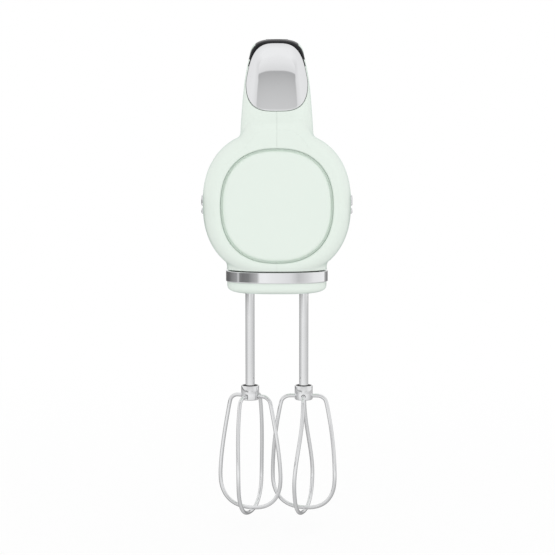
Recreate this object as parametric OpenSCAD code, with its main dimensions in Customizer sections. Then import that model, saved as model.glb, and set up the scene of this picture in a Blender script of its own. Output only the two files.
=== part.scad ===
// Hand mixer. The origin is the centre of the hand grip, +Z is up and the nose points to -Y.

/* [Casing] */
// Width of the round motor barrel
barrel_w = 84.6; // [82:0.2:90]
// Height of the round motor barrel at the nose
barrel_h = 84; // [82:0.2:90]
// How square the barrel's section is, 2 is an ellipse
barrel_square = 2.35; // [2.2:0.05:2.8]
// Depth of the barrel's centre below the grip centre
barrel_drop = 84.3; // [83:0.1:86]
// Distance of the nose face ahead of the grip centre
nose_y = 92; // [90:0.5:96]
// Distance of the heel behind the grip centre
heel_y = 113; // [110:1:125]
// Width of the rounding between the nose face and the barrel's side
nose_round = 8.5; // [7:0.5:9.5]
// Depth of that rounding along the barrel
nose_round_depth = 15; // [12:1:18]
// Wall of the barrel and base
wall = 2.4; // [1.8:0.1:2.8]
// Wall of the handle
grip_wall = 3; // [2.4:0.1:3.2]
// Wall behind the nose disc
nose_wall = 6; // [5:0.5:7]

/* [Handle] */
// Height of the hand grip
grip_h = 26; // [25:0.5:28]
// Width of the hand grip
grip_w = 34; // [33:0.5:38]
// Width of the front post where it meets the barrel
post_w = 41.8; // [40:0.2:46]
// How square the handle's section is
grip_square = 3; // [2.5:0.1:3.6]
// Thickness of the control panel and the front plate
inlay_t = 1.7; // [1.4:0.1:2]
// Width of the control panel
panel_w = 25; // [24:0.5:27]
// Length of the control panel behind the grip centre
panel_back = 36; // [35:1:42]
// Width of the bright front plate
plate_w = 35.4; // [33:0.2:36]
// Height of the front plate's centre below the grip centre
plate_drop = 12.2; // [11.5:0.1:13]
// Height above the grip centre from which the black crest wraps the front of the handle
crest_z = -2; // [-4:0.5:4]
// Height of the front plate
plate_h = 39.6; // [38:0.2:41]

/* [Base] */
// Width of the base above the band
base_w = 57.6; // [56:0.2:60]
// Length of the base
base_l = 88.4; // [86:0.2:92]
// Depth of the base's rounded ends
base_round = 18.5; // [16:0.5:22]
// Distance of the base's front ahead of the grip centre
base_front = 88.4; // [87:0.2:89]
// Depth of the band's top edge below the grip centre
band_drop = 122.2; // [121.6:0.1:123.4]
// Height of the bright band
band_h = 7; // [6:0.2:8]
// How far the band stands out from the base
band_proud = 0.6; // [0.3:0.1:1]
// Height of the bottom cover below the band
cover_h = 6.8; // [6:0.2:8]
// Thickness of the bottom cover's floor
cover_floor = 2.2; // [1.8:0.1:2.4]

/* [Nose disc] */
// Width of the recess for the nose disc
disc_w = 63.6; // [60:0.2:65]
// Width of the groove round the disc
disc_groove = 1.9; // [1.4:0.1:2.4]
// Depth of the recess
disc_recess = 3.4; // [3:0.1:3.8]

/* [Side trim] */
// Length of the bright bars on the sides
trim_l = 54; // [40:1:60]
// How far the bars stand out
trim_proud = 2.4; // [1.6:0.1:2.8]

/* [Drive] */
// Distance of the beater axes ahead of the grip centre
beater_y = 45; // [44:0.5:46]
// Half the distance between the beater axes
beater_x = 16.1; // [15.8:0.1:16.6]
// Depth of the motor shaft below the grip centre
shaft_drop = 84; // [83:0.5:85]
// Diameter of the motor shaft
shaft_d = 5; // [4.6:0.1:5.2]
// Pitch radius of the worm
worm_r = 4.6; // [4.5:0.05:4.7]
// Length of the worm's thread
worm_l = 22; // [18:1:23]
// Thickness of each worm wheel
wheel_t = 6.4; // [5:0.2:6.8]
// Outer diameter of the spindles
spindle_d = 10; // [9.6:0.1:10.4]
// Length of the spindles above the motor shaft
spindle_up = 14; // [13:0.5:15]
// Radial running clearance of shafts in their bushes
run_gap = 0.06; // [0.04:0.01:0.08]
// Clearance between pieces that move past each other
free_gap = 0.4; // [0.3:0.05:0.5]

/* [Motor] */
// Distance of the stator behind the grip centre
stator_y = 12; // [10:1:14]
// Length of the stator's laminations
stator_l = 22; // [20:1:24]
// Width of the stator
stator_w = 54; // [52:1:56]
// Height of the stator
stator_h = 42; // [40:1:44]
// Diameter of the armature
armature_d = 26; // [24:0.5:26]
// Diameter of the cooling fan
fan_d = 40; // [36:1:41]
// Diameter of the commutator
commutator_d = 15; // [14:0.5:16]

/* [Beaters] */
// Diameter of the beater shanks
shank_d = 6; // [5.8:0.1:6.2]
// Depth of the shank tops below the grip centre
shank_top = 98.5; // [97:0.5:101]
// Depth of the hub tops below the grip centre
hub_drop = 194.6; // [192:0.2:198]
// Height of the hubs
hub_h = 8.6; // [8:0.2:10]
// Diameter of the hubs
hub_d = 10.8; // [10.4:0.1:12]
// Diameter of the beater wire
wire_d = 2.4; // [2:0.1:2.6]
// Widest radius of the beater loops
loop_r = 19.5; // [18:0.1:20]
// Height of the loops below the hub's wire holes
loop_h = 68.6; // [64:0.2:72]
// Turn of the left beater
left_turn = -19.3; // [-25:0.1:-15]
// Turn of the right beater
right_turn = -15; // [-18:0.1:-12]

/* [Controls] */
// Travel of the ejector
eject_travel = 8; // [6:0.5:8]
// Distance of the ejector rod ahead of the grip centre
eject_y = 58; // [57.5:0.5:59]
// Distance of the eject button ahead of the grip centre
eject_button_y = 46; // [45:0.5:47]
// Diameter of the eject button
eject_d = 10; // [9:0.5:11]
// Travel of the press buttons
press_travel = 1; // [0.8:0.1:1.2]
// Diameter of the press buttons
press_d = 8.4; // [7.5:0.1:9]

/* [Hidden] */
$fn = 48;
MINT = [0.91, 0.95, 0.91];
CHROME = [0.85, 0.86, 0.88];
STEEL = [0.7, 0.71, 0.73];
BLACK = [0.08, 0.08, 0.09];
big = 300;
seat = 0.1;
around = 36;
room_around = 24;
half_w = barrel_w / 2;
half_h = barrel_h / 2;
taper_start = 60;
band_z = -band_drop;
cover_z = band_z - band_h;
floor_z = cover_z - cover_h;
shaft_z = -shaft_drop;
base_tail = base_front - base_l;
spindle_r = spindle_d / 2;
shank_r = shank_d / 2;
spindle_top = shaft_z + spindle_up;
spindle_low = floor_z + cover_floor + free_gap;
slot_top = -118.5;
wire_r = wire_d / 2;
wheel_teeth = 28;
thread_out = 0.6;
wheel_r = beater_x - worm_r;
pitch = 2 * PI * wheel_r / wheel_teeth;
lead = 2 * pitch;
thread_in = 1.1;
lid_z = shaft_z + 6;
lid_t = 4;
plate_low = -116;
plate_t = 6;
frame_front = -beater_y - 22.5;
frame_back = -beater_y + 22.5;
frame_wall = 3.5;
post_x = 24;
post_r = 3;
stator_end = stator_y + stator_l;
bracket_y = stator_end + 24;
brush_y = stator_end + 17;
inlet_y = 88;
inlet_z = -107.4;
inlet_tilt = 20;
inlet_r = 3.6;
board_z = 1;
board_t = 1.6;
grip_hz = grip_h / 2;
grip_hx = grip_w / 2;
// name, place along the handle
press_y = [["power", 26], ["turbo", 12], ["minus", -6], ["plus", -18]];
// Casing screws: place along the mixer, height, reach of the boss into the side wall
screw_at = [[-78, -58, half_w - 11], [12, -53, half_w - 16.7], [2, -111.5, half_w - 16.3],
    [100, -66, half_w - 24], [80, -30, grip_hx + 1.2]];

// A point on a rounded square, 2 is an ellipse
function bend(v, n) = sign(v) * pow(abs(v), 2 / n);
function rounded(hx, hz, n, count = around) =
    [for (i = [0 : count - 1]) let (a = 360 * (i + 0.5) / count) [hx * bend(cos(a), n), hz * bend(sin(a), n)]];

// Skin through rings that all have the same number of points
module loft(rings) {
    n = len(rings[0]);
    last = len(rings) - 1;
    polyhedron(
        points = [for (ring = rings) for (p = ring) p],
        faces = concat(
            [[for (i = [0 : n - 1]) i]],
            [for (r = [0 : last - 1]) for (i = [0 : n - 1]) let (j = (i + 1) % n)
                for (f = [[r * n + i, (r + 1) * n + i, r * n + j], [r * n + j, (r + 1) * n + i, (r + 1) * n + j]]) f],
            [[for (i = [n - 1 : -1 : 0]) last * n + i]]));
}

// Round wire along a path, with the same side vector all the way or one for each point
module wire(path, r, side, sides = 10) {
    last = len(path) - 1;
    function along(i) = let (d = path[min(i + 1, last)] - path[max(i - 1, 0)]) d / norm(d);
    loft([for (i = [0 : last]) let (t = along(i), raw = cross(t, side), v = raw / norm(raw), u = cross(v, t))
        [for (k = [0 : sides - 1]) path[i] + r * (cos(360 * k / sides) * u + sin(360 * k / sides) * v)]]);
}

module coil(r, wire_size, turns, low, high, steps = 8) {
    count = round(turns * steps);
    wire([for (i = [0 : count]) let (a = 360 * i / steps)
        [r * cos(a), r * sin(a), low + wire_size + (high - low - 2 * wire_size) * i / count]],
        wire_size, [0, 0, 1], 5);
}

// The motor barrel, with its skin moved in by inset and its nose by front
function barrel_ring(y, shrink, inset, drop, count) = [for (p = rounded(half_w * shrink - inset,
    (half_h - drop) * shrink - inset, barrel_square, count)) [-p[0], y, p[1] - barrel_drop + 0.75 * drop]];
function barrel_front(inset, front, count) = [for (a = [0 : 22.5 : 90]) let (grow = nose_round * (1 - sin(a)))
    [for (p = rounded(half_w - grow - inset, half_h - grow - inset, barrel_square, count))
        [-p[0], -nose_y + front + nose_round_depth * (1 - cos(a)), p[1] - barrel_drop]]];
function barrel_back(inset, count) = [for (t = [0, 0.25, 0.5, 0.66, 0.79, 0.88, 0.94, 0.98, 0.995])
    barrel_ring(-taper_start + (heel_y + taper_start - inset) * t, pow(1 - pow(t, 5), 1 / 2.8),
        inset * pow(1 - pow(t, 8), 0.5), 8 * t, count)];
module barrel(inset = 0, front = 0) {
    count = inset > 0 ? room_around : around;
    loft(concat(barrel_front(inset, front, count), barrel_back(inset, count)));
}

// Rows of the handle from the nose over the grip to the heel: place, height, slope, half thickness, half width
function handle_rows() = [
    [-68.5, -56, 90, 19.5, post_w / 2],
    [-68.2, -44, 90, 18.6, post_w / 2],
    [-67.4, -34, 90, 17.8, post_w / 2 - 0.6],
    [-65.8, -24, 84, 17.2, post_w / 2 - 1.4],
    [-61.6, -12.6, 64, 16.6, grip_hx + 1],
    [-56, -6.4, 42, 15.6, grip_hx - 0.4],
    [-47, -2.4, 20, grip_hz + 0.1, grip_hx - 1],
    [-36, -0.9, 6, grip_hz - 0.4, grip_hx - 0.8],
    [-20, -0.3, 2, grip_hz - 0.4, grip_hx - 0.4],
    [0, 0, 0, grip_hz, grip_hx],
    [28, -1.4, -5, grip_hz, grip_hx],
    [50, -5, -15, grip_hz + 1, grip_hx],
    [66, -12, -38, grip_hz + 3, grip_hx + 0.6],
    [76, -24, -62, grip_hz + 5.5, grip_hx + 2],
    [81, -39, -82, grip_hz + 7, grip_hx + 4],
    [80, -54, -94, grip_hz + 7, grip_hx + 5],
    [77, -70, -98, grip_hz + 4, grip_hx + 4]];
module handle(inset = 0) {
    loft([for (row = handle_rows()) let (c = cos(row[2] + 90), s = sin(row[2] + 90))
        [for (p = rounded(row[4] - inset, row[3] - inset, grip_square, inset > 2 ? 16 : 28))
            [-p[0], row[0] + p[1] * c, row[1] + p[1] * s]]]);
}

// Plan of the base and of what fits round it, grown by grow
module base_plan(grow = 0) {
    hw = base_w / 2 + grow;
    deep = base_round + grow;
    half = [for (i = [0 : 12]) let (a = 180 * i / 12) [hw * bend(cos(a), 2.4), deep * bend(sin(a), 2.4)]];
    polygon(concat([for (p = half) [p[0], base_tail * -1 - base_round + p[1]]],
        [for (p = half) [-p[0], -base_front + base_round - p[1]]]));
}
module base_block(low, high, grow = 0) {
    translate([0, 0, low]) linear_extrude(high - low) base_plan(grow);
}

module casing_skin() {
    difference() {
        union() {
            barrel();
            handle();
            base_block(band_z, -98);
        }
        base_block(-big, band_z, 4);
    }
}
module casing_room() {
    barrel(wall, nose_wall);
    handle(grip_wall);
    base_block(-big, -96, -wall);
}

// The front plate's outline, seen from the front
module plate_outline(grow = 0) {
    polygon([for (i = [0 : 31]) let (a = 360 * (i + 0.5) / 32, up = bend(sin(a), 3.2))
        [(plate_w / 2 + grow) * bend(cos(a), 3.2) * (1 - 0.2 * max(0, up + 0.15)), -plate_drop + (plate_h / 2 + grow) * up]]);
}
module plate_block(grow = 0) {
    difference() {
        translate([0, -58, 0]) rotate([90, 0, 0]) linear_extrude(60) plate_outline(grow);
        translate([-50, -64 + grow, -50]) cube([100, 10, 50]);
    }
}
module panel_block(grow = 0) {
    hull() for (y = [-70, panel_back - panel_w / 4], side = [-1, 1])
        translate([side * panel_w / 4, y, 6]) cylinder(r = panel_w / 4 + grow, h = 40, $fn = 20);
    translate([0, -54, 0]) rotate([90, 0, 0]) linear_extrude(50) intersection() {
        plate_outline(0.5 + grow);
        translate([-40, -6 - grow]) square([80, 60]);
    }
    translate([-40, -90, crest_z]) cube([80, 34 + grow, 22]);
}
module button_holes(extra) {
    for (b = press_y) translate([0, b[1], 5]) cylinder(d = press_d + 2 * (free_gap + extra), h = 20, $fn = 20);
    translate([0, -eject_button_y, 0]) cylinder(d = eject_d + 2 * (free_gap + extra), h = 20, $fn = 20);
    translate([-7 - extra, -38 - extra, 5]) cube([14 + 2 * extra, 10 + 2 * extra, 20]);
}
peg_y = [-44, -26, 4, 19];
plate_peg_z = [-26, -18, -10, -2];
module panel_pegs(grow = 0) {
    for (y = peg_y, side = [-1, 1]) hull() {
        translate([side * 8.5, y, 9]) cylinder(r = 0.7 + grow, h = 0.1, $fn = 6);
        translate([side * 8.5, y, 10.8]) cylinder(r = 0.9 + grow, h = 0.1, $fn = 6);
    }
}
module plate_pegs(grow = 0) {
    for (z = plate_peg_z, side = [-1, 1]) hull() {
        translate([side * 9, -69, z]) rotate([-90, 0, 0]) cylinder(r = 0.7 + grow, h = 0.1, $fn = 6);
        translate([side * 9, -86 + max(0, z + 26) * 0.44, z]) rotate([-90, 0, 0])
            cylinder(r = 0.9 + grow, h = 0.1, $fn = 6);
    }
}
module inlay_skin(low, high) {
    difference() {
        handle(low);
        handle(high);
    }
}

module trim_bar(low, high, grow = 0) {
    translate([0, -beater_y - 5, 0]) hull() for (z = [low + 1, high - 1], y = [1, trim_l - 1])
        translate([0, y, z]) rotate([0, 90, 0]) cylinder(r = 1 + grow, h = half_w + trim_proud + grow, $fn = 24);
}
trim_rows = [[-86.6, -80.3], [-91.3, -88]];
trim_seat = half_w - 1;

// Round columns across the casing at its screws, at one side of the middle plane
module screw_columns(side, r, from, to) {
    for (at = screw_at) translate([0, at[0], at[1]]) rotate([0, 90 * side, 0]) translate([0, 0, from])
        cylinder(r = r, h = (to == 0 ? at[2] : to) - from, $fn = 8);
}
// Carriers inside the casing: frame and motor seats, board ribs, clamp posts and the spring shelf
module carriers() {
    for (y = [frame_front + 8, frame_back - 8]) translate([25 + seat, y, plate_low + plate_t / 2])
        rotate([0, 90, 0]) cylinder(r = 2.6, h = 6.4, $fn = 8);
    translate([stator_w / 2 + seat, bracket_y + 2.3, shaft_z]) rotate([0, 90, 0]) cylinder(r = 4, h = 9.4, $fn = 8);
    for (y = [-28, 0, 28]) translate([8.5, y - 1, -10.4]) cube([3.5, 2, 10.4 + board_z - seat]);
    translate([8, 74, -109]) cylinder(r = 3, h = 109 - 102, $fn = 8);
    translate([0, -67.4, -34]) difference() {
        linear_extrude(2) polygon(rounded(post_w / 2 - 2, 16.2, grip_square, 16));
        translate([0, 67.4 - eject_y, -1]) cylinder(r = 2.2 + free_gap, h = 4, $fn = 16);
    }
}
module vents() {
    for (i = [0 : 6]) hull() for (up = [0, 1])
        translate([28, 64 + i * 4.6 + up * 5, shaft_z - 8 + up * 19]) rotate([0, 90, 0])
            cylinder(r = 1.3, h = 60, $fn = 8);
}

// One half of the casing: a shell with its bosses, cut on the middle plane
module casing(side) {
    color(MINT) intersection() {
        translate([side > 0 ? 0 : -big, -big, -big]) cube([big, 2 * big, 2 * big]);
        difference() {
            union() {
                difference() {
                    casing_skin();
                    casing_room();
                }
                screw_columns(side, 3.6, 0, 0);
                scale([side, 1, 1]) carriers();
            }
            screw_columns(side, 1.75, -1, side > 0 ? 8.5 : 14);
            if (side < 0) screw_columns(side, 3.2, 10, 60);
            intersection() {
                plate_block(seat);
                inlay_skin(-4, inlay_t + seat);
            }
            intersection() {
                panel_block(seat);
                inlay_skin(-4, inlay_t + seat);
            }
            panel_pegs(seat);
            plate_pegs(seat);
            button_holes(0.2);
            scale([side, 1, 1]) {
                vents();
                for (row = trim_rows) intersection() {
                    trim_bar(row[0], row[1], seat);
                    translate([trim_seat, -big, -big]) cube(2 * big);
                }
            }
            translate([0, -nose_y + disc_recess, 0]) rotate([90, 0, 0]) linear_extrude(40)
                translate([0, -barrel_drop]) polygon(rounded(disc_w / 2, disc_w / 2 + 0.5, barrel_square, 32));
            at_inlet() translate([0, 0, -9]) cylinder(r = 5.2, h = 20, $fn = 16);
            translate([-20, heel_y - 2.4, -barrel_drop - 16]) cube([40, 10, 40]);
        }
    }
}
module casing_left() {
    casing(-1);
}
module casing_right() {
    casing(1);
}

module disc_slice(y, inset) {
    translate([0, y, 0]) rotate([90, 0, 0]) linear_extrude(0.02)
        translate([0, -barrel_drop]) polygon(rounded(disc_w / 2 - inset, disc_w / 2 + 0.5 - inset, barrel_square, 48));
}
module nose_disc() {
    color(MINT) {
        translate([0, -nose_y + disc_recess, 0]) rotate([90, 0, 0]) linear_extrude(disc_recess - 1.4)
            translate([0, -barrel_drop]) polygon(rounded(disc_w / 2 - seat, disc_w / 2 + 0.5 - seat, barrel_square, 48));
        hull() {
            disc_slice(-nose_y + 1.4, disc_groove);
            disc_slice(-nose_y + 0.3, disc_groove + 0.1);
            disc_slice(-nose_y - 0.1, disc_groove + 0.8);
            disc_slice(-nose_y - 0.6, disc_groove + 7);
        }
    }
}

module front_plate() {
    color(CHROME) {
        intersection() {
            plate_block();
            inlay_skin(-0.3, inlay_t);
        }
        difference() {
            plate_pegs();
            intersection() {
                handle(-1);
                translate([-20, -100, -40]) cube([40, 18, 60]);
            }
            difference() {
                translate([-30, -95, -50]) cube([60, 60, 70]);
                handle(inlay_t - 0.4);
            }
        }
    }
}
module control_panel() {
    color(BLACK) {
        difference() {
            intersection() {
                panel_block();
                inlay_skin(0, inlay_t);
            }
            plate_block(seat);
            button_holes(0);
        }
        intersection() {
            panel_pegs();
            handle(inlay_t - 0.4);
        }
    }
}
module display_lens() {
    color([0.12, 0.14, 0.16]) translate([-7 + seat, -38 + seat, 8.6]) cube([14 - 2 * seat, 10 - 2 * seat, 3]);
}
module control_board() {
    color([0.1, 0.4, 0.2]) translate([-11, -38, board_z]) difference() {
        cube([22, 74, board_t]);
        for (x = [2.5, 19.5], y = [3, 71]) translate([x, y, -1]) cylinder(r = 1.2, h = 4);
    }
    for (b = press_y) color(BLACK) translate([-2, b[1] - 2, board_z + board_t]) cube([4, 4, 1.4]);
    color(BLACK) translate([-5, -36, board_z + board_t]) cube([10, 6, 6]);
    color(STEEL) translate([-8, 30.8, board_z - 4]) cube([16, 4, 4]);
}

module chrome_band() {
    color(CHROME) difference() {
        base_block(cover_z, band_z, band_proud);
        base_block(cover_z - 1, band_z + 1, -1.8);
    }
}
function cover_inset(t) = 8.2 * pow(t, 4.5);
module bottom_cover() {
    color(MINT) difference() {
        union() {
            hull() for (t = [0, 0.35, 0.6, 0.8, 0.93, 1])
                base_block(cover_z - 0.02 - cover_h * t, cover_z - cover_h * t, -cover_inset(t));
            base_block(cover_z, band_z - 0.6, -2);
            for (side = [-1, 1]) translate([side * beater_x, -beater_y, floor_z - 1]) cylinder(d = 11.4, h = 3);
        }
        base_block(floor_z + cover_floor, band_z + 10, -5.4);
        for (side = [-1, 1]) {
            translate([side * beater_x, -beater_y, floor_z - 5]) cylinder(r = shank_r + 1.2, h = 20);
            for (y = [-base_front + 19, base_tail * -1 - 17]) translate([side * 17, y, floor_z - 5]) {
                cylinder(r = 1.7, h = 20);
                cylinder(r = 3.2, h = 6.2);
            }
        }
    }
    color(MINT) for (side = [-1, 1], y = [-base_front + 19, base_tail * -1 - 17])
        translate([side * 17, y, floor_z + 1.2]) difference() {
            cylinder(r = 4, h = cover_h - 1.2);
            translate([0, 0, -1]) cylinder(r = 1.7, h = 20);
        }
}
module cover_screws() {
    color(STEEL) for (side = [-1, 1], y = [-base_front + 19, base_tail * -1 - 17])
        translate([side * 17, y, floor_z + 1.2 - 2]) difference() {
            union() {
                cylinder(r = 2.9, h = 2);
                cylinder(r = 1.5, h = 12);
            }
            translate([-2.2, -0.4, -1]) cube([4.4, 0.8, 1.8]);
            translate([-0.4, -2.2, -1]) cube([0.8, 4.4, 1.8]);
        }
}

module side_trim(side) {
    color(CHROME) scale([side, 1, 1]) for (row = trim_rows) intersection() {
        trim_bar(row[0], row[1]);
        translate([trim_seat, -big, -big]) cube(2 * big);
    }
}
module side_trim_left() {
    side_trim(-1);
}
module side_trim_right() {
    side_trim(1);
}

module heel_pad() {
    color([0.75, 0.8, 0.76]) difference() {
        translate([0, heel_y + 0.6, 0]) rotate([90, 0, 0]) linear_extrude(3 - seat)
            translate([0, -barrel_drop + 6]) polygon(rounded(14.5, 14, barrel_square, 40));
        for (z = [-10 : 5 : 10]) translate([-9, heel_y - 0.2, -barrel_drop + 5.5 + z]) cube([18, 3, 1]);
    }
}
module at_inlet() {
    translate([0, inlet_y, inlet_z]) rotate([inlet_tilt, 0, 0]) children();
}
module cord_inlet() {
    color(BLACK) at_inlet() difference() {
        union() {
            translate([0, 0, -4.4]) cylinder(r = 6.8, h = 3.8);
            translate([0, 0, -4.4]) cylinder(r = 5, h = 10);
            translate([0, 0, 3.8]) cylinder(r = 6.4, h = 1.8);
        }
        translate([0, 0, -6]) cylinder(r = inlet_r, h = 20);
    }
}
module cord_clamp() {
    color([0.9, 0.9, 0.86]) translate([-11, 71, -102 + seat]) cube([22, 6, 4]);
    color(STEEL) for (x = [-8, 8]) translate([x, 74, -98 + seat]) cylinder(r = 2.6, h = 1.6);
}
module casing_screws() {
    color(STEEL) for (at = screw_at) translate([-10 - 2.2, at[0], at[1]]) rotate([0, 90, 0]) difference() {
        union() {
            cylinder(r = 2.8, h = 2.2);
            cylinder(r = 1.5, h = 19);
        }
        translate([-2.2, -0.4, -1]) cube([4.4, 0.8, 2]);
        translate([-0.4, -2.2, -1]) cube([0.8, 4.4, 2]);
    }
}

module at_spindles() {
    for (side = [-1, 1]) translate([side * beater_x, -beater_y, 0]) children();
}
module along_shaft(y) {
    translate([0, y, shaft_z]) rotate([-90, 0, 0]) children();
}
lid_holes = [[-20, -1], [20, -1], [-20, 1], [20, 1]];
module gearbox_frame() {
    color([0.82, 0.82, 0.8]) difference() {
        union() {
            translate([-25, frame_front, plate_low]) cube([50, frame_back - frame_front, plate_t]);
            translate([-22, frame_front, plate_low]) cube([44, frame_wall, lid_z - plate_low]);
            translate([-27, frame_back - frame_wall, plate_low + plate_t])
                cube([54, frame_wall, lid_z - plate_low - plate_t]);
            for (side = [-1, 1]) translate([side * post_x, frame_back - 1, shaft_z]) rotate([-90, 0, 0])
                cylinder(r = post_r, h = stator_y - frame_back + 1);
        }
        at_spindles() translate([0, 0, plate_low - 1]) cylinder(d = spindle_d + 4, h = plate_t + 2);
        along_shaft(frame_front - 1) cylinder(r = shaft_d / 2 + 2.5, h = frame_wall + 2);
        along_shaft(frame_back - frame_wall - 1) cylinder(r = 6.5, h = frame_wall + 2);
        for (side = [-1, 1]) translate([side * post_x, 0, shaft_z]) rotate([-90, 0, 0]) cylinder(r = 1.5, h = 60);
    }
}
module gearbox_lid() {
    color([0.82, 0.82, 0.8]) difference() {
        translate([-23, frame_front, lid_z]) cube([46, frame_back - frame_front, lid_t]);
        at_spindles() translate([0, 0, lid_z - 1]) cylinder(d = spindle_d + 4, h = lid_t + 2);
        for (h = lid_holes) translate([h[0], -beater_y + h[1] * 20.75, lid_z - 1]) cylinder(r = 1.5, h = lid_t + 2);
    }
}
module frame_screws() {
    color(STEEL) for (h = lid_holes) translate([h[0], -beater_y + h[1] * 20.75, lid_z]) {
        cylinder(r = 1.5, h = lid_t);
        translate([0, 0, lid_t]) cylinder(r = 2.6, h = 1.8);
    }
}
module spindle_bushes() {
    color([0.72, 0.55, 0.3]) at_spindles() for (low = [lid_z, plate_low]) translate([0, 0, low]) difference() {
        cylinder(d = spindle_d + 4, h = low == lid_z ? lid_t : plate_t);
        translate([0, 0, -1]) cylinder(r = spindle_r + run_gap, h = plate_t + 2);
    }
}

module stator_outline() {
    difference() {
        square([stator_w, stator_h], center = true);
        circle(d = armature_d + 1.2);
        for (x = [-1, 1], z = [-1, 1]) translate([x * 14.6, z * 14.7]) square([8.6, 5.6], center = true);
        for (x = [-1, 1]) translate([x * post_x, 0]) circle(r = 1.5, $fn = 24);
        for (x = [-1, 1], z = [-1, 1]) translate([x * stator_w / 2, z * stator_h / 2]) rotate(45) square(7, center = true);
    }
}
module motor_stator() {
    color([0.45, 0.46, 0.48]) translate([0, stator_end, shaft_z]) rotate([90, 0, 0])
        linear_extrude(stator_l) stator_outline();
}
module field_coils() {
    color([0.72, 0.35, 0.15]) for (side = [-1, 1]) translate([0, stator_y + stator_l / 2, shaft_z + side * 14.7])
        difference() {
            cube([37.2, stator_l + 12, 5], center = true);
            cube([21.2, stator_l + 1, 7], center = true);
        }
}
module plain_bearing(length, flange_at) {
    difference() {
        union() {
            cylinder(r = shaft_d / 2 + 2.5, h = length);
            translate([0, 0, flange_at]) cylinder(r = shaft_d / 2 + 4, h = 1.4);
        }
        translate([0, 0, -1]) cylinder(r = shaft_d / 2 + run_gap, h = length + 2);
    }
}
module front_bearing() {
    color([0.72, 0.55, 0.3]) along_shaft(frame_front - 1.4) plain_bearing(frame_wall + 1.4, 0);
}
module rear_bearing() {
    color([0.72, 0.55, 0.3]) along_shaft(bracket_y) plain_bearing(6, 4.6);
}
module rear_bracket() {
    color([0.15, 0.15, 0.16]) difference() {
        union() {
            translate([-stator_w / 2, bracket_y, shaft_z - 9]) cube([stator_w, 4.6, 18]);
            for (side = [-1, 1]) translate([side * (stator_w / 2 - 3.25) - 3.25, stator_end, shaft_z - 6])
                cube([6.5, bracket_y - stator_end, 12]);
        }
        along_shaft(bracket_y - 1) cylinder(r = shaft_d / 2 + 2.5, h = 8);
        for (side = [-1, 1]) {
            translate([side * post_x, stator_end - 1, shaft_z]) rotate([-90, 0, 0]) cylinder(r = 1.5, h = 40);
            translate([side * 18 - 10, brush_y - 4, shaft_z - 5]) cube([20, 8, 4]);
        }
    }
}
module motor_screws() {
    color(STEEL) for (side = [-1, 1]) translate([side * post_x, bracket_y + 4.6, shaft_z]) rotate([90, 0, 0]) {
        cylinder(r = 1.5, h = bracket_y + 4.6 - stator_y + 8);
        translate([0, 0, -1.8]) cylinder(r = 2.7, h = 1.8);
    }
}
brush_in = commutator_d / 2 + 0.3;
module brush_holders() {
    color([0.78, 0.65, 0.35]) for (side = [-1, 1]) scale([side, 1, 1]) difference() {
        translate([brush_in + 2.4, brush_y - 4, shaft_z - 5]) cube([12, 8, 4]);
        translate([brush_in + 1.4, brush_y - 3, shaft_z - 4.2]) cube([11, 6, 2.4]);
    }
}
module carbon_brushes() {
    color([0.12, 0.12, 0.12]) for (side = [-1, 1]) scale([side, 1, 1])
        translate([brush_in, brush_y - 3, shaft_z - 4.2]) cube([11, 6, 2.4]);
}

module motor_shaft() {
    color(STEEL) along_shaft(frame_front - 3) cylinder(d = shaft_d, h = bracket_y + 8 - frame_front + 3);
}
// Cross-section of the two-start thread, in the plane square to the shaft
module worm_outline() {
    polygon([for (i = [0 : 15]) let (a = 22.5 * i, ridge = max(0, min(1, 1.35 * cos(2 * a) + 0.05)))
        (worm_r - thread_in + (thread_in + thread_out) * ridge) * [cos(a), sin(a)]]);
}
module worm() {
    color(STEEL) along_shaft(-beater_y - worm_l / 2) difference() {
        linear_extrude(worm_l, twist = -360 * worm_l / lead, slices = round(12 * worm_l / lead), segments = 16)
            worm_outline();
        translate([0, 0, -1]) cylinder(d = shaft_d, h = worm_l + 2);
    }
}
module armature_core() {
    color([0.5, 0.51, 0.53]) along_shaft(stator_y) linear_extrude(stator_l) difference() {
        circle(d = armature_d);
        circle(d = shaft_d);
        for (a = [0 : 30 : 330]) rotate(a) translate([armature_d / 2 - 3.5, -0.9]) square([5, 1.8]);
    }
}
module armature_windings() {
    color([0.75, 0.38, 0.15]) for (y = [stator_y - 6, stator_end]) along_shaft(y) rotate_extrude()
        polygon([[shaft_d / 2, 0], [9, 0], [10.6, 1.4], [10.6, 4.6], [9.6, 6], [shaft_d / 2, 6]]);
}
module commutator() {
    color([0.75, 0.45, 0.25]) along_shaft(stator_end + 10) linear_extrude(13) difference() {
        circle(d = commutator_d);
        circle(d = shaft_d);
        for (a = [0 : 30 : 330]) rotate(a) translate([commutator_d / 2 - 1, -0.25]) square([3, 0.5]);
    }
}
module cooling_fan() {
    color([0.9, 0.9, 0.88]) along_shaft(frame_back + 6) difference() {
        union() {
            cylinder(r = 5.5, h = 9);
            cylinder(d = fan_d, h = 1.4);
            for (a = [0 : 36 : 324]) rotate(a) translate([4.5, 0, 0]) rotate(18) cube([fan_d / 2 - 6, 1.2, 8]);
        }
        translate([0, 0, -1]) cylinder(d = shaft_d, h = 12);
    }
}

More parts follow.
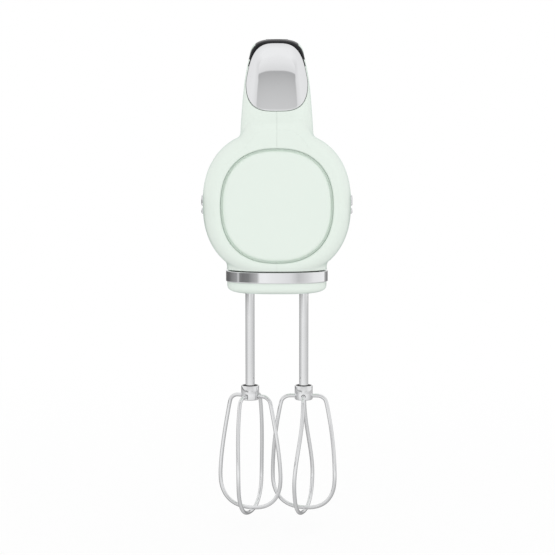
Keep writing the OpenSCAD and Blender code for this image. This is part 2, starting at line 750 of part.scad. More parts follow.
// Hollow spindle, slotted at its foot for the drive wings of a beater
module spindle(side, turn) {
    color(STEEL) translate([side * beater_x, -beater_y, 0]) difference() {
        union() {
            translate([0, 0, spindle_low]) cylinder(r = spindle_r, h = spindle_top - spindle_low);
            translate([0, 0, plate_low - free_gap - 1.8]) cylinder(r = spindle_r + 1.8, h = 1.8);
            translate([0, 0, lid_z + lid_t + free_gap]) cylinder(r = spindle_r + 1.4, h = 1.2);
        }
        translate([0, 0, spindle_low - 1]) cylinder(r = shank_r + run_gap, h = 100);
        rotate(turn) translate([-9, -1.2, spindle_low - 1]) cube([18, 2.4, slot_top - spindle_low - 1]);
        translate([0, 0, -104]) rotate_extrude() translate([spindle_r - 0.5, 0]) square([2, 1.2]);
    }
}
module spindle_left() {
    spindle(-1, left_turn);
}
module spindle_right() {
    spindle(1, right_turn);
}
wheel_turn = 360 * wheel_t * tan(atan(lead / (2 * PI * worm_r))) / (2 * PI * wheel_r);
module wheel_outline() {
    root_r = wheel_r - thread_out - 0.4;
    tip_r = wheel_r + 0.7;
    polygon([for (i = [0 : wheel_teeth - 1]) for (p = [[root_r, -0.33], [tip_r, -0.11], [tip_r, 0.11], [root_r, 0.33]])
        let (a = 360 * (i + p[1]) / wheel_teeth) p[0] * [cos(a), sin(a)]]);
}
// The wheel is turned so that its teeth stand midway between the turns of the thread
module worm_wheel(side) {
    phase = side * 180 * (worm_l - pitch) / (2 * PI * wheel_r);
    color([0.93, 0.9, 0.8]) translate([side * beater_x, -beater_y, shaft_z - wheel_t / 2]) difference() {
        union() {
            rotate(phase - wheel_turn / 2) linear_extrude(wheel_t, twist = -wheel_turn, slices = 2, segments = 4 * wheel_teeth) wheel_outline();
            translate([0, 0, wheel_t - 0.01]) cylinder(r = spindle_r + 1.6, h = 1.5);
        }
        translate([0, 0, -1]) cylinder(r = spindle_r, h = wheel_t + 4);
    }
}
module worm_wheel_left() {
    worm_wheel(-1);
}
module worm_wheel_right() {
    worm_wheel(1);
}
module detent_clip(side) {
    color(STEEL) translate([side * beater_x, -beater_y, -104]) difference() {
        cylinder(r = spindle_r + 0.9, h = 1.2);
        translate([0, 0, -1]) cylinder(r = spindle_r - 0.5, h = 4);
        translate([2, -1.5, -1]) cube([8, 3, 4]);
    }
}
module detent_clip_left() {
    detent_clip(-1);
}
module detent_clip_right() {
    detent_clip(1);
}

wire_hole_z = -hub_drop - hub_h + 2.3;
module beater_shank(side, turn) {
    color(STEEL) translate([side * beater_x, -beater_y, 0]) {
        translate([0, 0, -hub_drop - hub_h]) cylinder(r = shank_r, h = hub_drop + hub_h - shank_top);
        rotate(turn) translate([-3.9, -0.8, slot_top - 8]) cube([7.8, 1.6, 4]);
    }
}
module beater_shank_left() {
    beater_shank(-1, left_turn);
}
module beater_shank_right() {
    beater_shank(1, right_turn);
}
module beater_hub(side, turn) {
    color(STEEL) translate([side * beater_x, -beater_y, 0]) difference() {
        translate([0, 0, -hub_drop - hub_h]) cylinder(d = hub_d, h = hub_h);
        translate([0, 0, -hub_drop - 3.8]) cylinder(d = hub_d - 1.6, h = 6);
        translate([0, 0, -hub_drop - hub_h - 1]) cylinder(r = shank_r, h = hub_h);
        rotate(turn) translate([0, 0, wire_hole_z]) for (a = [0, 90]) rotate(a) rotate([0, 90, 0])
            cylinder(r = wire_r, h = 20, center = true);
    }
}
module beater_hub_left() {
    beater_hub(-1, left_turn);
}
module beater_hub_right() {
    beater_hub(1, right_turn);
}
// Half of a loop, from its hub hole to the foot: out, down the side, then round the foot
function loop_half(drop) = concat(
    [[shank_r + 0.2, 0], [10.4, 0]],
    [for (a = [20 : 20 : 60]) [10.4 + 4.4 * sin(a), -4.4 * (1 - cos(a))]],
    [for (t = [0 : 0.125 : 1]) [loop_r - (loop_r - 14.7) * pow(1 - t, 1.6), -5.2 - (loop_h - 5.2 - loop_r) * t]],
    [for (a = [12 : 12 : 84]) [loop_r * pow(cos(a), 2 / 2.4), -loop_h + loop_r - (loop_r + drop) * pow(sin(a), 2 / 2.4)]]);
module loop(side, turn, drop) {
    half = loop_half(drop);
    path = concat([for (p = half) [p[0], 0, p[1]]], [[0, 0, -loop_h - drop]],
        [for (i = [len(half) - 1 : -1 : 0]) [-half[i][0], 0, half[i][1]]]);
    color(STEEL) translate([side * beater_x, -beater_y, wire_hole_z]) rotate(turn) wire(path, wire_r, [0, 1, 0], 8);
}
module short_loop_left() {
    loop(-1, left_turn, 0);
}
module short_loop_right() {
    loop(1, right_turn, 0);
}
module long_loop_left() {
    loop(-1, left_turn + 90, wire_d + 0.2);
}
module long_loop_right() {
    loop(1, right_turn + 90, wire_d + 0.2);
}

rod_r = 2.2;
arm_z = -3.5;
yoke_z = spindle_top + eject_travel + 2;
module eject_button() {
    color([0.6, 0.63, 0.62]) difference() {
        translate([0, -eject_button_y, arm_z + 3]) cylinder(d = eject_d, h = 14);
        translate([0, -eject_button_y, 10.8]) rotate([4.5, 0, 0]) translate([-20, -20, 0]) cube([40, 40, 20]);
    }
}
module eject_rod() {
    color(STEEL) {
        translate([0, -eject_y, yoke_z]) cylinder(r = rod_r, h = arm_z + 1 - yoke_z);
        translate([-rod_r, -eject_y - rod_r, arm_z]) cube([2 * rod_r, eject_y - eject_button_y + rod_r + 2.6, 3]);
        translate([0, -eject_y, arm_z - 1.5]) cylinder(r = 4.8, h = 1.5);
        difference() {
            translate([-beater_x - 4, -eject_y - 3.5, yoke_z]) cube([2 * beater_x + 8, eject_y - beater_y + 7, 4]);
            translate([-8, -eject_y + 4.5, yoke_z - 1]) cube([16, 30, 6]);
        }
        at_spindles() translate([0, 0, -shank_top + 0.3]) cylinder(r = shank_r - 0.3, h = yoke_z + shank_top - 0.3);
    }
}
module eject_spring() {
    color(STEEL) translate([0, -eject_y, 0]) coil(3.6, 0.45, 7, -32 + seat, arm_z - 1.5 - seat);
}

// Height of the panel's surface over a button, and of the flange that holds the button under the casing
function press_top(i) = grip_hz - 0.0035 * pow(press_y[i][1], 2);
function flange_z(i) = press_top(i) - grip_wall - 1.5;
module press_button(i) {
    stem_z = board_z + board_t + 1.4 + press_travel + free_gap;
    color(i == 0 ? [0.75, 0.2, 0.15] : [0.6, 0.63, 0.62]) translate([0, press_y[i][1], 0]) {
        translate([0, 0, flange_z(i) + 0.9]) cylinder(d = press_d, h = press_top(i) - flange_z(i) - 1);
        translate([0, 0, flange_z(i)]) cylinder(d = press_d + 1.6, h = 1);
        translate([0, 0, stem_z]) cylinder(r = 1.4, h = flange_z(i) + 0.1 - stem_z);
    }
}
module power_button() {
    press_button(0);
}
module turbo_button() {
    press_button(1);
}
module minus_button() {
    press_button(2);
}
module plus_button() {
    press_button(3);
}
module press_spring(i) {
    color(STEEL) translate([0, press_y[i][1], 0]) coil(3.5, 0.3, 4, board_z + board_t + seat, flange_z(i) - seat);
}
module power_spring() {
    press_spring(0);
}
module turbo_spring() {
    press_spring(1);
}
module minus_spring() {
    press_spring(2);
}
module plus_spring() {
    press_spring(3);
}

casing_left();
casing_right();
nose_disc();
front_plate();
control_panel();
display_lens();
control_board();
chrome_band();
bottom_cover();
cover_screws();
side_trim_left();
side_trim_right();
heel_pad();
cord_inlet();
cord_clamp();
casing_screws();
gearbox_frame();
gearbox_lid();
frame_screws();
spindle_bushes();
motor_stator();
field_coils();
front_bearing();
rear_bearing();
rear_bracket();
motor_screws();
brush_holders();
carbon_brushes();
motor_shaft();
worm();
armature_core();
armature_windings();
commutator();
cooling_fan();
spindle_left();
spindle_right();
worm_wheel_left();
worm_wheel_right();
detent_clip_left();
detent_clip_right();
beater_shank_left();
beater_shank_right();
beater_hub_left();
beater_hub_right();
short_loop_left();
short_loop_right();
long_loop_left();
long_loop_right();
eject_button();
eject_rod();
eject_spring();
power_button();
minus_button();
plus_button();
turbo_button();
power_spring();
minus_spring();
plus_spring();
turbo_spring();
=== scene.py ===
import bmesh
import bpy
from math import cos, hypot, pi, radians, sin
import numpy as np
from mathutils import Matrix, Vector


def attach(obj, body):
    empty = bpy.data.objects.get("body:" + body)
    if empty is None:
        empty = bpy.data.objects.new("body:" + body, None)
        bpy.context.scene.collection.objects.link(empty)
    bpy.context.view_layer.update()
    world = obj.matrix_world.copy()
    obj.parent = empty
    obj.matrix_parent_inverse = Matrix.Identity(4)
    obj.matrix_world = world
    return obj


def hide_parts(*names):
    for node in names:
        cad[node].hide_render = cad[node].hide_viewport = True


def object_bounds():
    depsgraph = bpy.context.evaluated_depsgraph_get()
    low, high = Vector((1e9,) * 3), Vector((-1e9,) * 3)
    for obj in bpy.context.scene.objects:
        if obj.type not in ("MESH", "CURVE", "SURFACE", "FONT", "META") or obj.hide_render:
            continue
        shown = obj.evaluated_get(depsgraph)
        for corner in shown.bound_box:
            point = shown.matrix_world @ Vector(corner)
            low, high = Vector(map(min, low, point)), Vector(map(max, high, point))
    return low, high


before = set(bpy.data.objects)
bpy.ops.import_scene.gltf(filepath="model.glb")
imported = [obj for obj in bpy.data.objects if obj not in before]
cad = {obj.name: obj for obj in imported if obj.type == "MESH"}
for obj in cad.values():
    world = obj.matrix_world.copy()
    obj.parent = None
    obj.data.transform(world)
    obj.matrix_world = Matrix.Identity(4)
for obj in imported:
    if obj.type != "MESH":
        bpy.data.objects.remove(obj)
cad_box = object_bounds()
scene = bpy.context.scene


# -------- Studio
# The mixer hangs close above the floor of a white studio, with room below for its beaters to be
# pushed out. A long lens looks at the nose, a little downwards. White walls surround it, with grey
# and black cards beside and behind it that the bright metal mirrors.
lens = bpy.data.cameras.new("camera")
lens.sensor_width = 36
lens.lens = 92.757
lens.clip_start = 0.02
camera = bpy.data.objects.new("camera", lens)
camera.location = (0.00036, -0.895, -0.0508)
camera.rotation_euler = (radians(84.7), 0, 0)
scene.collection.objects.link(camera)
scene.camera = camera
scene.view_settings.view_transform = "Standard"


def shade(tree, kind, values=None, family="ShaderNode", **settings):
    node = tree.nodes.new(family + kind)
    for name, value in settings.items():
        setattr(node, name, value)
    for name, value in (values or {}).items():
        if isinstance(value, bpy.types.Node):
            value = value.outputs[0]
        if isinstance(value, bpy.types.NodeSocket):
            tree.links.new(value, node.inputs[name])
        else:
            node.inputs[name].default_value = value
    return node


def sums(tree, operation, a, b=0.0, c=0.0):
    return shade(tree, "Math", {0: a, 1: b, 2: c}, operation=operation).outputs[0]


def blend(tree, share, a, b):
    return shade(tree, "Mix", {0: share, 2: a, 3: b}, data_type="FLOAT").outputs[0]


def ramp(tree, factor, stops, interpolation="LINEAR"):
    node = shade(tree, "ValToRGB", {"Fac": factor})
    node.color_ramp.interpolation = interpolation
    while len(node.color_ramp.elements) < len(stops):
        node.color_ramp.elements.new(1.0)
    for element, (place, value) in zip(node.color_ramp.elements, stops):
        element.position = place
        element.color = (value, value, value, 1) if isinstance(value, float) else (*value, 1)
    return node.outputs["Color"]


def group_of_nodes(name, takes, gives):
    tree = bpy.data.node_groups.new(name, "ShaderNodeTree")
    for label, kind, value in takes:
        tree.interface.new_socket(label, in_out="INPUT", socket_type="NodeSocket" + kind).default_value = value
    for label, kind in gives:
        tree.interface.new_socket(label, in_out="OUTPUT", socket_type="NodeSocket" + kind)
    return tree, tree.nodes.new("NodeGroupInput").outputs, tree.nodes.new("NodeGroupOutput").inputs


# What the metal mirrors, by direction: cards of grey, as degrees round the mixer or up and percent
cards, card_in, card_out = group_of_nodes(
    "studio_cards", [("Direction", "Vector", (0, 0, 0))], [("Value", "Float")])
split = shade(cards, "SeparateXYZ", {0: card_in[0]})
azimuth = sums(cards, "ARCTAN2", split, sums(cards, "MULTIPLY", split.outputs[1], -1.0))
turn = sums(cards, "MULTIPLY_ADD", azimuth, 0.5 / pi, 0.5)
rise = sums(cards, "MULTIPLY_ADD", sums(cards, "ARCSINE", split.outputs[2]), 1 / pi, 0.5)
off_middle = sums(cards, "SUBTRACT", turn, 0.5)
bowed = sums(cards, "MULTIPLY_ADD", sums(cards, "MULTIPLY", off_middle, off_middle), 3.0, rise)


def card(factor, full, stops):
    return ramp(cards, factor, [((degrees + full / 2) / full, percent / 100) for degrees, percent in stops])


slant = card(rise, 180, [(-90, 100), (0, 100), (26, 96), (38, 92), (46, 78), (56, 62), (90, 60)])
leaning = sums(cards, "MULTIPLY_ADD", off_middle, slant, 0.5)
low_cards = card(turn, 360, [
    (-180, 14), (-120, 15), (-72, 36), (-67, 70), (-61, 24), (-52, 20), (-38, 22), (-21, 50), (-17, 96), (-10, 98),
    (0, 90), (12, 82), (24, 60), (41, 74), (60, 90), (100, 96), (114, 97), (124, 40), (150, 24), (180, 14)])
floor_cards = card(turn, 360, [
    (-180, 30), (-140, 42), (-102, 60), (-66, 72), (-46, 90), (-30, 93), (0, 88), (22, 83), (48, 74), (80, 65),
    (122, 60), (150, 45), (180, 30)])
foot_cards = card(turn, 360, [
    (-180, 46), (-125, 54), (-82, 70), (-54, 94), (-20, 98), (30, 94), (55, 86), (85, 66), (125, 52), (180, 44)])
ahead = card(bowed, 180, [(-90, 86), (0, 84), (12, 73), (52, 47), (53, 46), (54.5, 80), (70, 90), (90, 97)])
aside = card(leaning, 360, [
    (-180, 85), (-150, 80), (-115, 88), (-60, 90), (-39, 80), (-36.5, 0), (36.5, 0), (39, 80), (60, 90), (115, 88),
    (150, 80), (180, 85)])
in_front = card(leaning, 360, [(-180, 0), (-39, 0), (-36.5, 100), (36.5, 100), (39, 0), (180, 0)])
level_cards = sums(cards, "ADD", sums(cards, "MULTIPLY", ahead, in_front), aside)
overhead = card(rise, 180, [(-90, 0), (55, 0), (72, 100), (90, 100)])
high_cards = blend(cards, overhead, level_cards, ahead)
foot_level = card(rise, 180, [(-90, 0), (-15.8, 0), (-14.6, 100), (90, 100)])
under_foot = card(rise, 180, [(-90, 66), (-60, 70), (-38, 88), (-25, 100), (90, 100)])
near_level = card(rise, 180, [(-90, 0), (-6.0, 0), (-5.7, 100), (90, 100)])
above_level = card(rise, 180, [(-90, 0), (-1.2, 0), (-0.2, 100), (90, 100)])
lowest = sums(cards, "MULTIPLY", blend(cards, foot_level, foot_cards, floor_cards), under_foot)
lower = blend(cards, near_level, lowest, low_cards)
cards.links.new(blend(cards, above_level, lower, high_cards), card_out[0])

studio = bpy.data.worlds.new("studio")
scene.world = studio
studio.use_nodes = True
air = studio.node_tree
air.nodes.clear()
ray = shade(air, "LightPath")
looked = shade(air, "TexCoord").outputs["Generated"]
seen = shade(air, "Group", {0: looked}, node_tree=cards)
mirrored = sums(air, "MAXIMUM", ray.outputs["Is Glossy Ray"], ray.outputs["Is Transmission Ray"])
unlit = blend(air, mirrored, 0.9, seen)
strength = blend(air, ray.outputs["Is Camera Ray"], unlit, 1.0)
sky = shade(air, "Background", {"Color": (1, 1, 1, 1), "Strength": strength})
air.links.new(sky.outputs[0], shade(air, "OutputWorld").inputs[0])

paper = bpy.data.materials.new("studio_floor")
paper.use_nodes = True
tree = paper.node_tree
tree.nodes.clear()
ray = shade(tree, "LightPath")
place = shade(tree, "TexCoord").outputs["Object"]
from_mixer = shade(tree, "VectorMath", {0: place, 1: (0, -0.045, -0.14)}, operation="SUBTRACT")
toward = shade(tree, "VectorMath", {0: from_mixer}, operation="NORMALIZE")
seen = shade(tree, "Group", {0: toward}, node_tree=cards)
away = shade(tree, "VectorMath", {0: from_mixer}, operation="LENGTH").outputs["Value"]
near = ramp(tree, away, [(0.2, 0.12), (0.75, 0.0)], "EASE")
white = shade(tree, "Emission", {"Color": (1, 1, 1, 1), "Strength": 1.0})
matt = shade(tree, "BsdfDiffuse", {"Color": (0.9, 0.9, 0.9, 1)})
shown = shade(tree, "MixShader", {0: near, 1: white, 2: matt})
glow = shade(tree, "Emission", {"Color": (1, 1, 1, 1), "Strength": seen})
mirrored = sums(tree, "MAXIMUM", ray.outputs["Is Glossy Ray"], ray.outputs["Is Transmission Ray"])
unseen = shade(tree, "MixShader", {0: mirrored, 1: matt, 2: glow})
result = shade(tree, "MixShader", {0: ray.outputs["Is Camera Ray"], 1: unseen, 2: shown})
tree.links.new(result.outputs[0], shade(tree, "OutputMaterial").inputs[0])

beater_travel, floor_gap, floor_r = 0.008, 0.0003, 3
low = cad_box[0][2] - beater_travel - floor_gap
sheet = bpy.data.meshes.new("studio_floor")
sheet.from_pydata([(floor_r * cos(a), floor_r * sin(a), low)
                   for a in np.linspace(0, 2 * pi, 65)[:-1]], [], [list(range(64))])
sheet.materials.append(paper)
floor = bpy.data.objects.new("studio_floor", sheet)
scene.collection.objects.link(floor)

for name, where, size, power in (("key", (-0.55, -1.25, 0.75), 1.1, 2.4), ("fill", (0.95, -0.9, 0.1), 0.9, 1.2),
                                 ("back", (0.2, 1.1, 0.7), 0.9, 3.0)):
    lamp = bpy.data.lights.new(name, "AREA")
    lamp.size = size
    lamp.energy = power
    bulb = bpy.data.objects.new(name, lamp)
    bulb.location = where
    bulb.rotation_euler = (Vector(where) - Vector((0, -0.02, -0.12))).to_track_quat("Z", "Y").to_euler()
    bulb.visible_glossy = False
    scene.collection.objects.link(bulb)


# -------- Casing halves
# Two moulded halves of glossy mint plastic, left and right, screwed together on the middle plane:
# a rounded-square motor barrel, a handle bowed over it from nose to heel, and a column for the drive
# below. The wall is 2.4 mm thick, with air slots at the rear and recesses for what is let in.
barrel_z, barrel_square = -84.3, 2.35
axis_x, axis_y = 16.1, -45
wall = 2.4
disc_z = barrel_z - 0.9
seat = 0.1


def eased(t):
    return t * t * (3 - 2 * t)


def squircle(u, v, hu, hv, n):
    a, b = np.abs(u / hu), np.abs(v / hv)
    g = np.maximum((a ** n + b ** n) ** (1 / n), 1e-9)
    slope = g ** (1 - n) * np.hypot(a ** (n - 1) / hu, b ** (n - 1) / hv)
    return (g - 1) / np.maximum(slope, 1e-4)


def barrel_field(x, y, z):
    t = np.clip((y + 60) / 173, 0, 0.9995)
    shrink = (1 - t ** 5) ** (1 / 2.8)
    fall = 8 * t
    side = squircle(x, z - barrel_z - 0.75 * fall, 42.3 * shrink, (42 - fall) * shrink, barrel_square)
    u = np.maximum(8.5 + side, 0) / 8.5
    v = np.maximum(-77 - y, 0) / 15
    r = np.maximum(np.hypot(u, v), 1e-9)
    nose = (r - 1) * r / np.maximum(np.hypot(u / 8.5, v / 15), 1e-4)
    return np.maximum(np.where(r > 1e-6, nose, -8.5), y - 112)


# Place along the mixer, height, half thickness and half width of the handle
handle_rows = np.array([
    [-68.5, -56, 19.5, 20.9], [-68.2, -44, 18.6, 20.9], [-67.4, -34, 17.8, 20.3], [-65.8, -24, 17.2, 19.5],
    [-61.6, -12.6, 16.6, 18], [-56, -6.4, 15.6, 16.6], [-47, -2.4, 13.1, 16], [-36, -0.9, 12.6, 16.2],
    [-20, -0.3, 12.6, 16.6], [0, 0, 13, 17], [28, -1.4, 13, 17], [50, -5, 14, 17], [66, -12, 16, 17.6],
    [76, -24, 18.5, 19], [81, -39, 20, 21], [80, -54, 20, 22], [77, -70, 17, 21]])
knots = np.concatenate([[0], np.cumsum(np.hypot(*np.diff(handle_rows[:, :2], axis=0).T))])


def spline_through(at, value):
    h = np.diff(at)[:, None]
    rise = np.diff(value, axis=0) / h
    size = len(at)
    m = np.eye(size)
    right = np.zeros_like(value)
    for i in range(1, size - 1):
        m[i, i - 1:i + 2] = [h[i - 1, 0], 2 * (h[i - 1, 0] + h[i, 0]), h[i, 0]]
        right[i] = 6 * (rise[i] - rise[i - 1])
    bow = np.linalg.solve(m, right)
    return np.stack([value[:-1], rise - h * (2 * bow[:-1] + bow[1:]) / 6, bow[:-1] / 2, (bow[1:] - bow[:-1]) / (6 * h)])


handle_curve = spline_through(knots, handle_rows)


def on_handle(s, order=0):
    i = np.clip(np.searchsorted(knots, s) - 1, 0, len(knots) - 2)
    t = (s - knots[i])[..., None]
    a, b, c, d = handle_curve[:, i]
    return [a + t * (b + t * (c + t * d)), b + t * (2 * c + 3 * t * d), 2 * c + 6 * t * d][order]


def slid_nearer(s, p, rounds):
    for _ in range(rounds):
        off = p - on_handle(s)[:, :2]
        go, bend = on_handle(s, 1)[:, :2], on_handle(s, 2)[:, :2]
        slope = np.maximum((go * go).sum(-1) - (off * bend).sum(-1), 0.2)
        s = np.clip(s + np.clip((off * go).sum(-1) / slope, -1.5, 1.5), 0, knots[-1])
    return s


def nearest_on_handle(p):
    tries = np.linspace(0, knots[-1], 150)
    marks = on_handle(tries)[:, :2]
    s = np.concatenate([tries[((part[:, None] - marks) ** 2).sum(-1).argmin(1)]
                        for part in np.array_split(p, len(p) // 20000 + 1)])
    return slid_nearer(s, p, 8)


# The nearest place for a fine net of points over the side view, so that each point is looked up
net_y, net_z = np.arange(-100, 120, 0.5), np.arange(-134, 22, 0.5)
net_points = np.stack(np.meshgrid(net_y, net_z, indexing="ij"), -1).reshape(-1, 2)
net = nearest_on_handle(net_points).reshape(len(net_y), len(net_z))


def handle_field(x, y, z):
    shape = np.broadcast_shapes(np.shape(y), np.shape(z))
    p = np.stack([np.broadcast_to(part, shape).ravel() for part in (y, z)], -1)
    spot = [np.clip(np.rint((at - row[0]) * 2), 0, len(row) - 1).astype(int) for at, row in zip(p.T, (net_y, net_z))]
    s = slid_nearer(net[tuple(spot)], p, 2)
    here, go = on_handle(s), on_handle(s, 1)[:, :2]
    go = go / np.linalg.norm(go, axis=-1, keepdims=True)
    off = p - here[:, :2]
    across = (off[:, 1] * go[:, 0] - off[:, 0] * go[:, 1]).reshape(shape)
    beyond = np.where((s > 0) & (s < knots[-1]), -99, np.abs((off * go).sum(-1))).reshape(shape)
    return np.maximum(squircle(x, across, here[:, 3].reshape(shape), here[:, 2].reshape(shape), 3), beyond)


# The base is a stadium: its half width and rounding, and the middles of its two ends
base_x, base_y, base_front, base_back = 28.8, 18.5, -69.9, -18.5


def base_field(x, y, z):
    plan = squircle(x, y - np.clip(y, base_front, base_back), base_x, base_y, 2.4)
    return np.maximum(plan, np.maximum(z + 98, -128 - z))


def melt(a, b, reach):
    h = np.clip(0.5 + 0.5 * (b - a) / reach, 0, 1)
    return b + (a - b) * h - reach * h * (1 - h)


def casing_field(x, y, z):
    front, middle = np.clip((-76 - y) / 10, 0, 1), np.clip((26 - np.abs(x)) / 17, 0, 1)
    under = np.clip((-31 - z) / 9, 0, 1)
    reach = 2.2 + 17 * eased(front) * eased(middle) * eased(under)
    body = melt(barrel_field(x, y, z), handle_field(x, y, z), reach)
    return np.maximum(melt(body, base_field(x, y, z), 2.4), -92 - y)


def uphill(field, p, step=0.02):
    return np.stack([(field(*(p + d).T) - field(*(p - d).T)) / (2 * step) for d in np.eye(3) * step], 1)


def outward_at(field, p, least=1e-9):
    g = uphill(field, p)
    return g / np.maximum(np.linalg.norm(g, axis=1, keepdims=True), least)


def new_piece(name, points, faces, edges=()):
    mesh = bpy.data.meshes.new(name)
    mesh.from_pydata([tuple(p) for p in points], edges, [tuple(f) for f in faces])
    piece = bpy.data.objects.new(name, mesh)
    scene.collection.objects.link(piece)
    return piece


# The surface of a field: one point in each cell that it crosses, then drawn onto it along its slope
def skin_of(name, field, low, high, cell):
    axes = [np.arange(a, b + cell, cell) for a, b in zip(low, high)]
    value = field(axes[0][:, None, None], axes[1][None, :, None], axes[2][None, None, :])
    size = [len(a) for a in axes]
    value = np.broadcast_to(value, size)
    inside = value < 0
    total = np.zeros([n - 1 for n in size] + [3])
    count = np.zeros([n - 1 for n in size])
    edges = []
    for axis in range(3):
        one, two = (axis + 1) % 3, (axis + 2) % 3
        start, end = [slice(None)] * 3, [slice(None)] * 3
        start[axis], end[axis] = slice(None, -1), slice(1, None)
        a, b = value[tuple(start)], value[tuple(end)]
        crossed = inside[tuple(start)] != inside[tuple(end)]
        part = np.where(crossed, a / np.where(crossed, a - b, 1), 0)
        for i, j in ((0, 0), (0, 1), (1, 0), (1, 1)):
            cut = [slice(None)] * 3
            cut[one], cut[two] = slice(i, i + size[one] - 1), slice(j, j + size[two] - 1)
            c = crossed[tuple(cut)]
            count += c
            total[..., axis] += part[tuple(cut)]
            total[..., one] += c * i
            total[..., two] += c * j
        edges.append((crossed, inside[tuple(start)], one, two))
    cells = np.argwhere(count > 0)
    number = np.full(count.shape, -1)
    number[tuple(cells.T)] = np.arange(len(cells))
    points = np.array(low) + (cells + total[tuple(cells.T)] / count[tuple(cells.T)][:, None]) * cell
    faces, unit = [], np.eye(3, dtype=int)
    for crossed, within, one, two in edges:
        at = np.argwhere(crossed)
        at = at[(at[:, one] > 0) & (at[:, two] > 0) & (at[:, one] < size[one] - 1) & (at[:, two] < size[two] - 1)]
        quad = np.stack([number[tuple((at - i * unit[one] - j * unit[two]).T)]
                         for i, j in ((1, 1), (0, 1), (0, 0), (1, 0))], 1)
        faces.append(np.where(within[tuple(at.T)][:, None], quad, quad[:, ::-1]))
    for _ in range(4):
        g = uphill(field, points)
        step = field(*points.T)[:, None] * g / np.maximum((g * g).sum(1, keepdims=True), 0.2)
        length = np.linalg.norm(step, axis=1, keepdims=True)
        points = points - step * np.minimum(1, 0.5 * cell / np.maximum(length, 1e-9))
    return new_piece(name, points, np.concatenate(faces).tolist())


def worked(piece):
    piece.data = bpy.data.meshes.new_from_object(piece.evaluated_get(bpy.context.evaluated_depsgraph_get()))
    piece.modifiers.clear()
    if not piece.data.polygons:
        raise RuntimeError("nothing is left of " + piece.name)
    return piece


def carve(piece, tool, how="DIFFERENCE"):
    step = piece.modifiers.new("carve", "BOOLEAN")
    step.operation, step.solver, step.object = how, "MANIFOLD", tool
    return worked(piece)


def outline(hu, hv, n, count=64):
    a = 2 * np.pi * (np.arange(count) + 0.5) / count
    c, s = np.cos(a), np.sin(a)
    return np.stack([hu * np.sign(c) * np.abs(c) ** (2 / n), hv * np.sign(s) * np.abs(s) ** (2 / n)], 1)


def circle(r, count):
    return outline(r, r, 2, count)


def faced_outward(piece, merge=0):
    work = bmesh.new()
    work.from_mesh(piece.data)
    if merge:
        bmesh.ops.remove_doubles(work, verts=work.verts, dist=merge)
    bmesh.ops.recalc_face_normals(work, faces=work.faces)
    work.to_mesh(piece.data)
    work.free()
    return piece


def loft(name, rings, ring_shaped=False):
    count, size = len(rings), len(rings[0])
    faces = []
    for r in range(count if ring_shaped else count - 1):
        here, above = r * size, (r + 1) % count * size
        faces += [(here + i, here + (i + 1) % size, above + (i + 1) % size, above + i) for i in range(size)]
    if not ring_shaped:
        faces += [tuple(range(size))[::-1], tuple((count - 1) * size + i for i in range(size))]
    return faced_outward(new_piece(name, np.concatenate(rings), faces))


def lift(plan, height, along="z"):
    return np.insert(np.asarray(plan, float), "xyz".index(along), height, 1)


def block(name, plan, low, high, along="z"):
    return loft(name, [lift(plan, low, along), lift(plan, high, along)])


def box(x0, x1, y0, y1):
    return np.array([[x0, y0], [x1, y0], [x1, y1], [x0, y1]])


def stacked(name, plan, profile, along="z", ring_shaped=False):
    return loft(name, [lift(plan(grow), height, along) for grow, height in profile], ring_shaped)


def turned(name, profile, count, at=(0, 0), ring_shaped=False):
    return stacked(name, lambda r: circle(r, count) + at, profile, "z", ring_shaped)


def drop(*pieces):
    for piece in pieces:
        bpy.data.objects.remove(piece)


plate_hx, plate_hz, plate_z = 17.7, 19.8, -12.2


def plate_plan(grow=0, count=96):
    across, up = outline(1, 1, 3.2, count).T
    narrowing = 1 - 0.2 * np.maximum(0, up + 0.15)
    return np.stack([(plate_hx + grow) * across * narrowing, plate_z + (plate_hz + grow) * up], 1)


def plate_block(grow):
    plate = block("plate_block", plate_plan(grow), -58, -118, "y")
    behind = block("behind", box(-50, 50, -50, 0), -64 + grow, -50, "y")
    carve(plate, behind)
    drop(behind)
    return plate


strip_r, strip_back, strip_front = 6.25, 29.75, -70


def panel_block(grow):
    corner = circle(strip_r + grow, 48)
    strip = np.array([[x + np.sign(x) * strip_r, y + (strip_back if y > 0 else strip_front)] for x, y in corner])
    panel = block("panel_block", strip, 6, 46)
    rim = block("rim", plate_plan(0.5 + grow), -54, -104, "y")
    low_part = block("low_part", box(-50, 50, -60, -6 - grow), -50, -110, "y")
    crest = block("crest", box(-40, 40, -90, -56 + grow), -2, 26)
    carve(rim, low_part)
    carve(panel, rim, "UNION")
    carve(panel, crest, "UNION")
    drop(rim, low_part, crest)
    return panel


press_places = {"power": 26, "turbo": 12, "minus": -6, "plus": -18}
eject_y, window_y = -46, -33


def button_blocks(grow):
    tools = [block("hole", circle(4.6 + grow, 40) + [0, y], 5, 25) for y in press_places.values()]
    tools.append(block("hole", circle(5.4 + grow, 40) + [0, eject_y], 0, 25))
    tools.append(block("hole", outline(7 + grow, 5 + grow, 8, 40) + [0, window_y], 5, 25))
    return tools


hand_low, hand_high = (-24, -93.5, -36), (24, 41, 15)


def hand_area(depth):
    def field(x, y, z):
        walls = np.maximum(np.maximum(np.abs(x) - 23, np.abs(y + 26) - 66.5), np.abs(z + 10) - 24.5)
        return np.maximum(casing_field(x, y, z) + depth, walls)
    return field


under_inlay = skin_of("under_inlay", hand_area(1.7), hand_low, hand_high, 1.0)
vent_end = circle(1.3, 24)
slot = block("vent_slot", vent_end + np.where(vent_end[:, 1:] > 0, [5, 19], [0, 0]), 0, 60, "x")


def grow(tree, kind, values):
    return shade(tree, kind, values, "GeometryNode")


